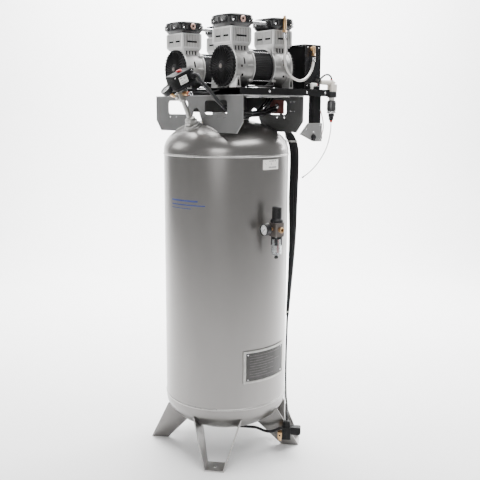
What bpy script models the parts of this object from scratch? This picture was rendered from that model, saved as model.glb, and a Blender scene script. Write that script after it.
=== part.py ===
"""Vertical tank compressor: a 60 gallon upright air receiver with two twin-head oil-free pumps on a deck.

The model is built about the tank's axis, with the floor at z = 0, and is then moved as a whole so
that the centre of its footprint is the origin. +X is the side with the regulator and the data plate,
-Y is the side with the pressure switch. All sizes are in metres.
"""
import bpy
import bmesh
from math import cos, pi, radians, sin, sqrt
from mathutils import Matrix, Vector

# ---- driving dimensions -------------------------------------------------------------------------
GAP = 0.0003                  # clearance left between pieces that touch

TANK_R = 0.254                # 20 inch tank
TANK_WALL = 0.003
SEAM_LOW = 0.230              # lower and upper girth welds
SEAM_HIGH = 1.242
HEAD_FLANGE = 0.015           # straight part of each dished end
HEAD_DEPTH = 0.127            # 2:1 ellipse
TANK_SEGMENTS = 40

FOOT_T = 0.005
FOOT_HALF_WIDTH = 0.040
LEG_TOP_HALF_WIDTH = 0.100
LEG_TOP_Z = 0.185
FOOT_INNER_R = 0.249
FOOT_OUTER_R = 0.322
FOOT_HOLE_R = 0.006

DECK_Z = 1.471                # top of the deck sheet
DECK_HALF_X = 0.300
DECK_HALF_Y = 0.148
SHEET = 0.003
PLATE_LOW_Z = 1.330
PLATE_CHAMFER = 0.037
WINDOW_IN = 0.0585
WINDOW_OUT = 0.2035
WINDOW_LOW = 1.398
WINDOW_HIGH = 1.451

BASE_TOP = 1.4977             # top of the black channels that carry the pumps
BASE_HALF = 0.093             # half the width of a channel, about its pump's shaft
BASE_SHEET = 0.003
BASE_FRONT = -0.130
BASE_REAR_LEFT = 0.200
BASE_REAR_RIGHT = 0.325       # the right-hand channel also carries the aftercooler

LEFT_X = -0.155               # the two pump shafts
RIGHT_X = 0.168
SHAFT_Z = 1.5765
BORE_Y = 0.100                # cylinder axes are at y = -BORE_Y and +BORE_Y
CASE_R = 0.0775
CASE_INNER_R = 0.0705
CASE_IN_Y = 0.0465            # crankcases run from here
CASE_OUT_Y = 0.1375           # to here
FAN_R = 0.0757
FAN_OUT_Y = 0.1550
BLOCK_LOW = 1.657
BLOCK_HIGH = 1.716
BLOCK_HALF_X = 0.060
BLOCK_HALF_Y = 0.047
CYLINDER_R = 0.029
HEAD_HALF_X = 0.0735
HEAD_HALF_Y = 0.0597
HEAD_HIGH = 1.765
THROW = 0.006                 # crank throw, half of the stroke
CRANK_R = 0.012

COOLER_X0 = 0.050
COOLER_X1 = 0.233
COOLER_Y0 = 0.213
COOLER_Y1 = 0.298
COOLER_Z0 = BASE_TOP + GAP
COOLER_Z1 = 1.672

REG_X = 0.312                 # filter regulator's vertical axis
REG_Y = 0.010
REG_Z = 0.966

TIE_Z = 0.545                 # where the cable bundle is tied and one lead goes on
BUNDLE_FULL_Z = 1.050         # from here up the bundle has its full width
BUNG = Vector((0.012, -0.172, 0.0))     # foot of the pressure switch riser on the dome

BLACK = (0.012, 0.012, 0.013)


# ---- helpers --------------------------------------------------------------------------------------
def material(name, colour, roughness, metallic):
    found = bpy.data.materials.get(name)
    if found:
        return found
    mat = bpy.data.materials.new(name)
    mat.use_nodes = True
    shader = mat.node_tree.nodes["Principled BSDF"]
    shader.inputs["Base Color"].default_value = (*colour, 1.0)
    shader.inputs["Roughness"].default_value = roughness
    shader.inputs["Metallic"].default_value = metallic
    mat.diffuse_color = (*colour, 1.0)
    return mat


def silver_paint():
    return material("silver_paint", (0.50, 0.49, 0.48), 0.38, 0.75)


def grey_paint():
    return material("grey_paint", (0.42, 0.42, 0.42), 0.45, 0.6)


def black_paint():
    return material("black_paint", BLACK, 0.35, 0.0)


def black_plastic():
    return material("black_plastic", (0.015, 0.015, 0.016), 0.5, 0.0)


def cast_aluminium():
    return material("cast_aluminium", (0.60, 0.60, 0.60), 0.42, 0.9)


def steel():
    return material("bright_steel", (0.66, 0.66, 0.67), 0.3, 1.0)


def rubber():
    return material("black_rubber", (0.02, 0.02, 0.02), 0.7, 0.0)


def white_plastic():
    return material("white_plastic", (0.72, 0.71, 0.68), 0.5, 0.0)


def clear_plastic():
    return material("clear_plastic", (0.75, 0.78, 0.78), 0.1, 0.0)


def red_plastic():
    return material("red_plastic", (0.55, 0.02, 0.02), 0.4, 0.0)


def finish(name, bm, mat, smooth=True):
    """Turn a closed bmesh into a named object with its faces pointing out."""
    bmesh.ops.remove_doubles(bm, verts=bm.verts, dist=1e-6)
    bmesh.ops.recalc_face_normals(bm, faces=bm.faces)
    mesh = bpy.data.meshes.new(name)
    bm.to_mesh(mesh)
    bm.free()
    if smooth:
        mesh.shade_smooth()
        mesh.set_sharp_from_angle(angle=radians(35))
    obj = bpy.data.objects.new(name, mesh)
    bpy.context.scene.collection.objects.link(obj)
    if mat:
        mesh.materials.append(mat)
    return obj


def add_box(bm, low, high, turn=None):
    centre = (Vector(low) + Vector(high)) / 2
    size = Vector(high) - Vector(low)
    made = bmesh.ops.create_cube(bm, size=1.0)["verts"]
    bmesh.ops.scale(bm, vec=size, verts=made)
    place = Matrix.Translation(centre)
    if turn:
        place = turn @ place
    bmesh.ops.transform(bm, matrix=place, verts=made)
    return made


def box(name, low, high, mat):
    bm = bmesh.new()
    add_box(bm, low, high)
    return finish(name, bm, mat, smooth=False)


def add_lathe(bm, profile, segments, place=None):
    """Turn a profile of (radius, height) points about Z. A closed profile off the axis makes a ring."""
    on_axis = profile[0][0] == 0.0
    loops = []
    for radius, height in profile:
        if radius == 0.0:
            loops.append([bm.verts.new((0.0, 0.0, height))])
            continue
        turn = [2 * pi * k / segments for k in range(segments)]
        loops.append([bm.verts.new((radius * cos(a), radius * sin(a), height)) for a in turn])
    pairs = list(zip(loops, loops[1:]))
    if not on_axis:
        pairs.append((loops[-1], loops[0]))
    for first, second in pairs:
        for k in range(segments):
            after = (k + 1) % segments
            if len(first) == 1:
                bm.faces.new((first[0], second[k], second[after]))
            elif len(second) == 1:
                bm.faces.new((first[k], second[0], first[after]))
            else:
                bm.faces.new((first[k], second[k], second[after], first[after]))
    made = [vert for loop in loops for vert in loop]
    if place:
        bmesh.ops.transform(bm, matrix=place, verts=made)
    return made


def lathe(name, profile, mat, segments=24, place=None):
    bm = bmesh.new()
    add_lathe(bm, profile, segments, place)
    return finish(name, bm, mat)


def rod_profile(radius, low, high):
    return [(0.0, low), (radius, low), (radius, high), (0.0, high)]


def ring_profile(inner, outer, low, high):
    return [(inner, low), (outer, low), (outer, high), (inner, high)]


def along(direction, at=(0, 0, 0)):
    """A placement whose local Z runs along a direction."""
    turn = Vector((0, 0, 1)).rotation_difference(Vector(direction)).to_matrix().to_4x4()
    return Matrix.Translation(Vector(at)) @ turn


def along_y(x, z):
    """A placement whose local Z is the world's Y, on the line through x and z, with local X kept."""
    return Matrix.Translation((x, 0, z)) @ Matrix.Rotation(radians(-90), 4, "X")


def add_prism(bm, outline, low, high, place=None):
    """Extrude a flat outline of (x, y) points from z = low to z = high."""
    bottom = [bm.verts.new((x, y, low)) for x, y in outline]
    top = [bm.verts.new((x, y, high)) for x, y in outline]
    bm.faces.new(bottom)
    bm.faces.new(top)
    for k in range(len(outline)):
        after = (k + 1) % len(outline)
        bm.faces.new((bottom[k], bottom[after], top[after], top[k]))
    if place:
        bmesh.ops.transform(bm, matrix=place, verts=bottom + top)


def prism(name, outline, low, high, mat, place=None):
    bm = bmesh.new()
    add_prism(bm, outline, low, high, place)
    return finish(name, bm, mat)


def rounded_rectangle(x0, y0, x1, y1, radius, steps=4):
    points = []
    corners = ((x1 - radius, y1 - radius, 0), (x0 + radius, y1 - radius, 90),
               (x0 + radius, y0 + radius, 180), (x1 - radius, y0 + radius, 270))
    for cx, cy, start in corners:
        for k in range(steps + 1):
            a = radians(start + 90 * k / steps)
            points.append((cx + radius * cos(a), cy + radius * sin(a)))
    return points


def add_loft(bm, sections):
    """Join equal closed loops of points, with a flat cap at each end."""
    loops = [[bm.verts.new(point) for point in section] for section in sections]
    for first, second in zip(loops, loops[1:]):
        for k in range(len(first)):
            after = (k + 1) % len(first)
            bm.faces.new((first[k], first[after], second[after], second[k]))
    bm.faces.new(loops[0])
    bm.faces.new(loops[-1])


def add_sweep(bm, points, radius, sides):
    """A round section carried along a line of points, each ring across the mean direction there."""
    points = [Vector(p) for p in points]
    rings = []
    normal = Vector((0, 0, 1))
    for k, point in enumerate(points):
        before = points[max(k - 1, 0)]
        after = points[min(k + 1, len(points) - 1)]
        run = (after - before).normalized()
        normal = (normal - run * normal.dot(run)).normalized()
        across = run.cross(normal)
        turns = [2 * pi * j / sides for j in range(sides)]
        rings.append([point + radius * (normal * cos(a) + across * sin(a)) for a in turns])
    add_loft(bm, rings)


def hide(helper):
    helper.hide_render = True
    helper.display_type = "WIRE"
    helper.hide_set(True)
    return helper


def combine(obj, helper, operation):
    step = obj.modifiers.new(operation.lower(), "BOOLEAN")
    step.operation = operation
    step.solver = "EXACT"
    step.object = hide(helper)


def cut(obj, helper):
    combine(obj, helper, "DIFFERENCE")


def fuse(obj, helper):
    combine(obj, helper, "UNION")


def smooth_route(points, count):
    """Points spaced evenly along a Catmull-Rom curve through the given points."""
    knots = [Vector(p) for p in points]
    knots = [2 * knots[0] - knots[1]] + knots + [2 * knots[-1] - knots[-2]]
    fine = []
    for k in range(1, len(knots) - 2):
        p0, p1, p2, p3 = knots[k - 1:k + 3]
        for step in range(24):
            t = step / 24
            fine.append(0.5 * (2 * p1 + (p2 - p0) * t + (2 * p0 - 5 * p1 + 4 * p2 - p3) * t * t
                               + (3 * p1 - p0 - 3 * p2 + p3) * t ** 3))
    fine.append(knots[-2])
    lengths = [0.0]
    for a, b in zip(fine, fine[1:]):
        lengths.append(lengths[-1] + (b - a).length)
    route = []
    index = 0
    for k in range(count):
        target = lengths[-1] * k / (count - 1)
        while index < len(fine) - 2 and lengths[index + 1] < target:
            index += 1
        share = (target - lengths[index]) / max(lengths[index + 1] - lengths[index], 1e-9)
        route.append(fine[index].lerp(fine[index + 1], min(share, 1.0)))
    return route


def tube(name, points, radius, count, mat, bundle_radius=0.0):
    """Round cord along a smooth route. Above the tie it may be a bundle, which widens upwards."""
    curve = bpy.data.curves.new(name, "CURVE")
    curve.dimensions = "3D"
    curve.bevel_depth = 1.0
    curve.bevel_resolution = 2
    curve.use_fill_caps = True
    spline = curve.splines.new("POLY")
    spline.points.add(count - 1)
    for slot, point in zip(spline.points, smooth_route(points, count)):
        slot.co = (*point, 1.0)
        widening = min(max((point.z - TIE_Z) / (BUNDLE_FULL_Z - TIE_Z), 0.0), 1.0)
        slot.radius = radius + widening * max(bundle_radius - radius, 0.0)
    curve.materials.append(mat)
    obj = bpy.data.objects.new(name, curve)
    bpy.context.scene.collection.objects.link(obj)
    return obj


# ---- tank -----------------------------------------------------------------------------------------
def dome_z(x, y):
    """Height of the top head's outer face."""
    return SEAM_HIGH + HEAD_FLANGE + HEAD_DEPTH * sqrt(1 - (x * x + y * y) / TANK_R ** 2)


def dome_normal(x, y):
    z = HEAD_DEPTH * sqrt(1 - (x * x + y * y) / TANK_R ** 2)
    return Vector((x / TANK_R ** 2, y / TANK_R ** 2, z / HEAD_DEPTH ** 2)).normalized()


def ellipse(radius, depth, steps):
    """Quarter ellipse from the axis out to the rim, as (radius, height over the rim)."""
    angles = [pi / 2 * k / steps for k in range(steps + 1)]
    points = [(radius * sin(a), depth * cos(a)) for a in angles]
    points[0] = (0.0, depth)
    points[-1] = (radius, 0.0)
    return points


def head(name, seam, sign):
    """A dished end. sign is +1 for the top and -1 for the bottom."""
    rim = HEAD_FLANGE
    outer = [(r, rim + h) for r, h in ellipse(TANK_R, HEAD_DEPTH, 7)]
    inner = [(r, rim + h) for r, h in ellipse(TANK_R - TANK_WALL, HEAD_DEPTH - TANK_WALL, 3)]
    profile = outer + [(TANK_R, GAP), (TANK_R - TANK_WALL, GAP)] + inner[::-1]
    profile = [(r, seam + sign * h) for r, h in profile]
    return lathe(name, profile, silver_paint(), TANK_SEGMENTS)


def tank_solid(name):
    """The tank's outline, a little larger all round, which trims what is welded to it."""
    radius = TANK_R + GAP
    depth = HEAD_DEPTH + GAP
    top = [(r, SEAM_HIGH + HEAD_FLANGE + h) for r, h in ellipse(radius, depth, 7)]
    low = [(r, SEAM_LOW - HEAD_FLANGE - h) for r, h in ellipse(radius, depth, 7)]
    return lathe(name, top + low[::-1], None, TANK_SEGMENTS)


def build_tank():
    lathe("tank_shell", ring_profile(TANK_R - TANK_WALL, TANK_R, SEAM_LOW, SEAM_HIGH),
          silver_paint(), TANK_SEGMENTS)
    head("tank_top_head", SEAM_HIGH, 1)
    head("tank_bottom_head", SEAM_LOW, -1)


def leg(name, angle, trim):
    """A bent strip: a foot plate with an arm up each side to the tank."""
    slope = (LEG_TOP_HALF_WIDTH - FOOT_HALF_WIDTH) / LEG_TOP_Z
    thick = FOOT_T * sqrt(1 + slope * slope)
    inner_top = 0.085

    def section(side, height, inset):
        share = height / LEG_TOP_Z
        t = side * (FOOT_HALF_WIDTH + slope * height - inset)
        return (FOOT_INNER_R + (inner_top - FOOT_INNER_R) * share, t, height), \
               (FOOT_OUTER_R + (0.2325 - FOOT_OUTER_R) * share, t, height)

    sections = []
    for side, heights in ((-1, (LEG_TOP_Z, 0.0)), (1, (0.0, LEG_TOP_Z))):
        for height in heights:
            inside, outside = section(side, height, 0.0)
            up = height if height else FOOT_T
            inside_up, outside_up = section(side, up, thick)
            sections.append([inside, outside, outside_up, inside_up])
    bm = bmesh.new()
    add_loft(bm, sections)
    bmesh.ops.rotate(bm, matrix=Matrix.Rotation(angle, 3, "Z"), verts=bm.verts)
    obj = finish(name, bm, silver_paint(), smooth=False)
    middle = (FOOT_INNER_R + FOOT_OUTER_R) / 2
    hole = lathe(name + "_hole", rod_profile(FOOT_HOLE_R, -0.01, 0.02), None, 16,
                 Matrix.Translation((middle * cos(angle), middle * sin(angle), 0)))
    cut(obj, trim)
    cut(obj, hole)


def add_curved_box(bm, r0, r1, a0, a1, z0, z1, steps):
    sections = []
    for k in range(steps + 1):
        a = a0 + (a1 - a0) * k / steps
        sections.append([(r * cos(a), r * sin(a), z) for r, z in ((r0, z0), (r1, z0), (r1, z1), (r0, z1))])
    add_loft(bm, sections)


def build_data_plate():
    """A thin dark plate in a raised frame, bent to the tank."""
    a0 = radians(-21)
    a1 = radians(29)
    z0 = 0.340
    z1 = 0.475
    rim = 0.009
    bm = bmesh.new()
    add_curved_box(bm, TANK_R + 3 * GAP, TANK_R + 0.0060, a0, a1, z0, z1, 10)
    frame = finish("data_plate", bm, steel())
    bm = bmesh.new()
    turn = rim / TANK_R
    add_curved_box(bm, TANK_R + 0.0035, TANK_R + 0.02, a0 + turn, a1 - turn, z0 + rim, z1 - rim, 10)
    cut(frame, finish("data_plate_recess", bm, None))


# ---- deck -----------------------------------------------------------------------------------------
def end_plate(name, y0, y1, trim):
    top = DECK_Z - SHEET - GAP
    edge = DECK_HALF_X - PLATE_CHAMFER
    corner_z = PLATE_LOW_Z + PLATE_CHAMFER * 1.13
    outline = [(-DECK_HALF_X, top), (-DECK_HALF_X, corner_z), (-edge, PLATE_LOW_Z),
               (edge, PLATE_LOW_Z), (DECK_HALF_X, corner_z), (DECK_HALF_X, top)]
    upright = Matrix.Rotation(radians(90), 4, "X")
    plate = prism(name, outline, -y1, -y0, grey_paint(), upright)
    bm = bmesh.new()
    for side in (-1, 1):
        ends = sorted((side * WINDOW_IN, side * WINDOW_OUT))
        add_prism(bm, rounded_rectangle(ends[0], WINDOW_LOW, ends[1], WINDOW_HIGH, 0.012),
                  -y1 - 0.01, -y0 + 0.01, upright)
        for x in (0.146, 0.190):
            add_lathe(bm, rod_profile(0.003, y0 - 0.01, y1 + 0.01), 8, along_y(side * x, 1.387))
    arch_r = 0.0225
    arch_z = 1.4235 - arch_r
    arch = [(arch_r * cos(a), arch_z + arch_r * sin(a)) for a in [pi * k / 8 for k in range(9)]]
    arch = arch + [(-0.060, 1.330), (0.060, 1.330)]
    add_prism(bm, arch, -y1 - 0.01, -y0 + 0.01, upright)
    cut(plate, finish(name + "_holes", bm, None))
    cut(plate, trim)


def build_deck(trim):
    top = box("deck_top", (-DECK_HALF_X, -DECK_HALF_Y, DECK_Z - SHEET), (DECK_HALF_X, DECK_HALF_Y, DECK_Z),
              grey_paint())
    end_plate("deck_front_plate", -DECK_HALF_Y, -DECK_HALF_Y + SHEET, trim)
    end_plate("deck_rear_plate", DECK_HALF_Y - SHEET, DECK_HALF_Y, trim)
    reach = DECK_HALF_Y - SHEET - GAP
    fuse(top, box("deck_web", (-0.052, -reach, 1.406), (-0.049, reach, DECK_Z - SHEET / 2), None))


def build_base(name, centre, rear):
    """A black channel, open downwards, with a pump bolted to its top."""
    low = DECK_Z + GAP
    left = centre - BASE_HALF
    right = centre + BASE_HALF
    outline = [(left, low), (left + BASE_SHEET, low), (left + BASE_SHEET, BASE_TOP - BASE_SHEET),
               (right - BASE_SHEET, BASE_TOP - BASE_SHEET), (right - BASE_SHEET, low), (right, low),
               (right, BASE_TOP), (left, BASE_TOP)]
    upright = Matrix.Rotation(radians(90), 4, "X")
    return prism(name, outline, -rear, -BASE_FRONT, black_paint(), upright)


# ---- pumps ----------------------------------------------------------------------------------------
def crankcase(name, x, end):
    """One end casting: a drum on its side with two feet and a square neck under the cylinder."""
    place = along_y(x, SHAFT_Z)
    inner, outer = CASE_IN_Y, CASE_OUT_Y
    wall_end = inner + 0.006
    lip = outer - 0.006
    profile = [(0.0, inner), (CASE_R - 0.004, inner), (CASE_R - 0.004, lip), (CASE_R, lip),
               (CASE_R, outer), (0.0, outer)]
    drum = lathe(name, [(r, end * y) for r, y in profile], cast_aluminium(), 24, place)
    bm = bmesh.new()
    near, far = sorted((end * (inner + 0.008), end * (outer - 0.0005)))
    add_box(bm, (x - 0.050, near, SHAFT_Z + 0.045), (x + 0.050, far, BLOCK_LOW - GAP))
    fuse(drum, finish(name + "_neck", bm, None, smooth=False))
    bm = bmesh.new()
    near, far = sorted((end * (inner + 0.012), end * (outer - 0.010)))
    for side in (-1, 1):
        ends = sorted((x + side * 0.040, x + side * 0.080))
        add_box(bm, (ends[0], near, BASE_TOP + GAP), (ends[1], far, SHAFT_Z - 0.052))
    fuse(drum, finish(name + "_feet", bm, None, smooth=False))
    half_step = Matrix.Rotation(pi / 20, 4, "Z")
    throat = lathe(name + "_throat", rod_profile(CYLINDER_R, SHAFT_Z + 0.0205, BLOCK_LOW + 0.01), None, 20,
                   Matrix.Translation((x, end * BORE_Y + end * 0.0002, 0)) @ half_step)
    cut(drum, throat)
    room = [(0.0, inner - 0.01), (0.0125, inner - 0.01), (0.0125, wall_end), (CASE_INNER_R, wall_end),
            (CASE_INNER_R, outer + 0.01), (0.0, outer + 0.01)]
    cut(drum, lathe(name + "_room", [(r, end * y) for r, y in room], None, 24, place))


def stator(name, x):
    """The ribbed black body of the motor, between the two crankcases."""
    ribs = 14
    outer = []
    for k in range(ribs):
        for radius, share in ((0.0690, 0.0), (0.0690, 0.55), (0.0655, 0.60), (0.0655, 0.95)):
            a = 2 * pi * (k + share) / ribs
            outer.append((radius * cos(a), radius * sin(a)))
    half = CASE_IN_Y - GAP
    body = prism(name, outer, -half, half, black_paint(), along_y(x, SHAFT_Z))
    bm = bmesh.new()
    add_lathe(bm, rod_profile(0.0400, -half - 0.01, half + 0.01), 16, along_y(x, SHAFT_Z))
    cut(body, finish(name + "_bore", bm, None))


def shaft(name, x):
    """Shaft with the rotor in the middle and an eccentric under each cylinder."""
    tip = FAN_OUT_Y - 0.002
    profile = [(0.0, -tip), (0.008, -tip), (0.008, -0.042), (0.0385, -0.042),
               (0.0385, 0.042), (0.008, 0.042), (0.008, tip), (0.0, tip)]
    obj = lathe(name, profile, steel(), 16, along_y(x, SHAFT_Z))
    bm = bmesh.new()
    for end in (-1, 1):
        add_lathe(bm, rod_profile(CRANK_R, end * BORE_Y - 0.006, end * BORE_Y + 0.006), 12,
                  along_y(x, SHAFT_Z + end * THROW))
    fuse(obj, finish(name + "_eccentrics", bm, None))


def fan(name, x, end):
    """Cooling fan: a disc with a toothed rim, where scoops between the vanes reach the edge."""
    teeth = 16
    outline = []
    for k in range(teeth):
        for radius, share in ((FAN_R, 0.0), (FAN_R, 0.5), (FAN_R - 0.004, 0.5), (FAN_R - 0.004, 1.0)):
            a = 2 * pi * (k + share * 0.96) / teeth
            outline.append((radius * cos(a), radius * sin(a)))
    near, far = sorted((end * (CASE_OUT_Y + 2 * GAP), end * FAN_OUT_Y))
    obj = prism(name, outline, near, far, black_plastic(), along_y(x, SHAFT_Z))
    bm = bmesh.new()
    add_lathe(bm, rod_profile(0.0085, near - 0.01, far + 0.01), 12, along_y(x, SHAFT_Z))
    cut(obj, finish(name + "_bore", bm, None))


def cylinder_block(name, x, end):
    """Square finned cylinder with a bore and slots for the cooling air."""
    y = end * BORE_Y
    outline = rounded_rectangle(x - BLOCK_HALF_X, y - BLOCK_HALF_Y, x + BLOCK_HALF_X, y + BLOCK_HALF_Y,
                                0.010, 2)
    obj = prism(name, outline, BLOCK_LOW, BLOCK_HIGH, cast_aluminium())
    bm = bmesh.new()
    add_lathe(bm, rod_profile(CYLINDER_R, BLOCK_LOW - 0.01, BLOCK_HIGH + 0.01), 20,
              Matrix.Translation((x, y, 0)))
    z0 = BLOCK_LOW + 0.0165
    z1 = z0 + 0.006
    depth = 0.010
    for face in (-1, 1):
        deep, out = sorted((face * (BLOCK_HALF_Y - depth), face * (BLOCK_HALF_Y + 0.01)))
        for mid in (-0.024, 0.024):
            add_box(bm, (x + mid - 0.017, y + deep, z0), (x + mid + 0.017, y + out, z1))
        deep, out = sorted((face * (BLOCK_HALF_X - depth), face * (BLOCK_HALF_X + 0.01)))
        add_box(bm, (x + deep, y - 0.028, z0), (x + out, y + 0.028, z1))
    cut(obj, finish(name + "_cuts", bm, None))


def cylinder_head(name, x, end):
    """Black head with a low domed cover."""
    y = end * BORE_Y
    levels = ((BLOCK_HIGH + GAP, 0.0030), (1.7215, 0.0), (1.7470, 0.0), (1.7570, 0.0040),
              (1.7625, 0.0130), (HEAD_HIGH, 0.0270))
    sections = []
    for z, inset in levels:
        half_x = HEAD_HALF_X - inset
        half_y = HEAD_HALF_Y - inset
        loop = rounded_rectangle(x - half_x, y - half_y, x + half_x, y + half_y, half_y * 0.5, 4)
        sections.append([(px, py, z) for px, py in loop])
    bm = bmesh.new()
    add_loft(bm, sections)
    return finish(name, bm, black_paint())


def piston(name, x, end):
    """Rocking piston and rod in one piece, at mid stroke, with its eye clear of the eccentric."""
    y = end * BORE_Y
    eye = 0.0305
    crown = BLOCK_HIGH - THROW - 0.001
    profile = [(0.0, crown - 0.012), (CYLINDER_R - 0.0006, crown - 0.012),
               (CYLINDER_R - 0.0006, crown), (0.0, crown)]
    obj = lathe(name, profile, cast_aluminium(), 20, Matrix.Translation((x, y, 0)))
    bm = bmesh.new()
    add_box(bm, (x - 0.008, y - 0.005, SHAFT_Z + 0.026), (x + 0.008, y + 0.005, crown - 0.006))
    fuse(obj, finish(name + "_rod", bm, None, smooth=False))
    bm = bmesh.new()
    add_lathe(bm, ring_profile(0.0250, eye, y - 0.0055, y + 0.0055), 14, along_y(x, SHAFT_Z))
    fuse(obj, finish(name + "_eye", bm, None))


def build_pump(side_name, x):
    for end_name, end in (("front", -1), ("rear", 1)):
        label = side_name + "_" + end_name
        crankcase("crankcase_" + label, x, end)
        cylinder_block("cylinder_" + label, x, end)
        cover = cylinder_head("head_" + label, x, end)
        if label == "right_rear":
            add_tee(cover)
        piston("piston_" + label, x, end)
        fan("fan_" + label, x, end)
    stator("stator_" + side_name, x)
    shaft("shaft_" + side_name, x)
    balance_tube("balance_tube_" + side_name, x)


def balance_tube(name, x):
    """Silver tube between the two heads of a pump."""
    reach = BORE_Y - HEAD_HALF_Y - GAP
    bm = bmesh.new()
    add_lathe(bm, rod_profile(0.0075, -reach, reach), 12, along_y(x + 0.030, 1.738))
    finish(name, bm, steel())


def add_tee(obj):
    """Delivery tee standing on the right side of a head."""
    bm = bmesh.new()
    add_lathe(bm, rod_profile(0.0075, 1.706, 1.768), 10, Matrix.Translation((0.243, 0.094, 0)))
    fuse(obj, finish("tee_run", bm, None))
    bm = bmesh.new()
    add_lathe(bm, rod_profile(0.0065, RIGHT_X + 0.055, 0.243), 10, along((1, 0, 0), (0, 0.094, 1.738)))
    fuse(obj, finish("tee_branch", bm, None))


# ---- aftercooler and filter at the rear right -----------------------------------------------------
def build_aftercooler():
    bm = bmesh.new()
    add_box(bm, (COOLER_X0, COOLER_Y0, COOLER_Z0), (COOLER_X1, COOLER_Y1, COOLER_Z1))
    shroud = finish("aftercooler", bm, black_paint(), smooth=False)
    fan_x = (COOLER_X0 + COOLER_X1) / 2
    fan_z = (COOLER_Z0 + COOLER_Z1) / 2
    bm = bmesh.new()
    add_lathe(bm, rod_profile(0.068, COOLER_Y1 - 0.024, COOLER_Y1 + 0.01), 24, along_y(fan_x, fan_z))
    cut(shroud, finish("aftercooler_fan_opening", bm, None))
    bm = bmesh.new()
    add_lathe(bm, rod_profile(0.0075, 1.624, 1.664), 10, Matrix.Translation((0.245, 0.246, 0)))
    fuse(shroud, finish("inlet_elbow", bm, None))
    bm = bmesh.new()
    add_lathe(bm, rod_profile(0.0060, COOLER_X1 - 0.005, 0.245), 10, along((1, 0, 0), (0, 0.246, 1.655)))
    fuse(shroud, finish("inlet_branch", bm, None))
    bm = bmesh.new()
    add_lathe(bm, rod_profile(0.018, COOLER_Y1 - 0.018, COOLER_Y1 - 0.004), 16, along_y(fan_x, fan_z))
    rotor = finish("aftercooler_fan", bm, black_plastic())
    bm = bmesh.new()
    for k in range(7):
        spin = Matrix.Translation((fan_x, COOLER_Y1 - 0.011, fan_z)) @ Matrix.Rotation(2 * pi * k / 7, 4, "Y")
        twist = spin @ Matrix.Translation((0.038, 0, 0)) @ Matrix.Rotation(radians(20), 4, "X")
        add_box(bm, (-0.024, -0.0008, -0.011), (0.026, 0.0008, 0.011), twist)
    fuse(rotor, finish("aftercooler_fan_blades", bm, None, smooth=False))


HOSE_ROUTE = [(0.243, 0.094, 1.7055), (0.243, 0.094, 1.6955), (0.2450, 0.095, 1.670), (0.2495, 0.093, 1.640),
              (0.2535, 0.088, 1.608), (0.2545, 0.095, 1.575), (0.2545, 0.122, 1.543),
              (0.2535, 0.166, 1.529), (0.2510, 0.206, 1.541), (0.2480, 0.232, 1.570),
              (0.2460, 0.243, 1.598), (0.245, 0.246, 1.614), (0.245, 0.246, 1.6235)]


def build_hose():
    tube("braided_hose", HOSE_ROUTE, 0.0055, 30, steel())


def build_filter():
    """Water separator at the end of the right-hand channel, with its automatic drain below."""
    x, y = 0.250, 0.3385
    bm = bmesh.new()
    profile = [(0.0, 1.466), (0.018, 1.466), (0.020, 1.470), (0.020, 1.496), (0.012, 1.500), (0.0, 1.500)]
    add_lathe(bm, profile, 16, Matrix.Translation((x, y + 0.009, 0)))
    cap = finish("filter_head", bm, white_plastic())
    bm = bmesh.new()
    add_box(bm, (x - 0.016, BASE_REAR_RIGHT + GAP, 1.490), (x + 0.016, y + 0.028, 1.5245))
    fuse(cap, finish("filter_head_block", bm, None, smooth=False))
    profile = [(0.0, 1.366), (0.006, 1.368), (0.006, 1.375), (0.011, 1.376), (0.012, 1.402), (0.019, 1.404),
               (0.019, 1.408), (0.0165, 1.410), (0.0180, 1.418), (0.0180, 1.452), (0.0120, 1.456),
               (0.0120, 1.466 - GAP), (0.0, 1.466 - GAP)]
    lathe("filter_bowl", profile, black_plastic(), 16, Matrix.Translation((x, y + 0.009, 0)))


def add_rear_post(base):
    """Black post welded under the right-hand channel, with a bent tray on it."""
    x0, x1, y0, y1 = 0.206, 0.234, 0.262, 0.304
    bm = bmesh.new()
    add_box(bm, (x0, y0, 1.300), (x1, y1, BASE_TOP - 0.001))
    fuse(base, finish("rear_post", bm, None, smooth=False))
    bm = bmesh.new()
    tray = [(0.190, 1.322), (0.232, 1.365), (0.309, 1.365), (0.309, 1.292), (0.262, 1.292)]
    add_prism(bm, tray, x1 - 0.001, x1 + 0.002,
              Matrix(((0, 0, 1, 0), (1, 0, 0, 0), (0, 1, 0, 0), (0, 0, 0, 1))))
    fuse(base, finish("rear_tray", bm, None, smooth=False))


# ---- pressure switch group on the dome ------------------------------------------------------------
def switch_place():
    """Frame of the riser: origin on the dome, Z along the riser, X level."""
    foot = Vector((BUNG.x, BUNG.y, dome_z(BUNG.x, BUNG.y)))
    up = dome_normal(BUNG.x, BUNG.y)
    right = Vector((1, 0, 0))
    right = (right - up * right.dot(up)).normalized()
    back = up.cross(right)
    rows = [[right[i], back[i], up[i], foot[i]] for i in range(3)]
    return Matrix(rows + [[0, 0, 0, 1]])


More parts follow.
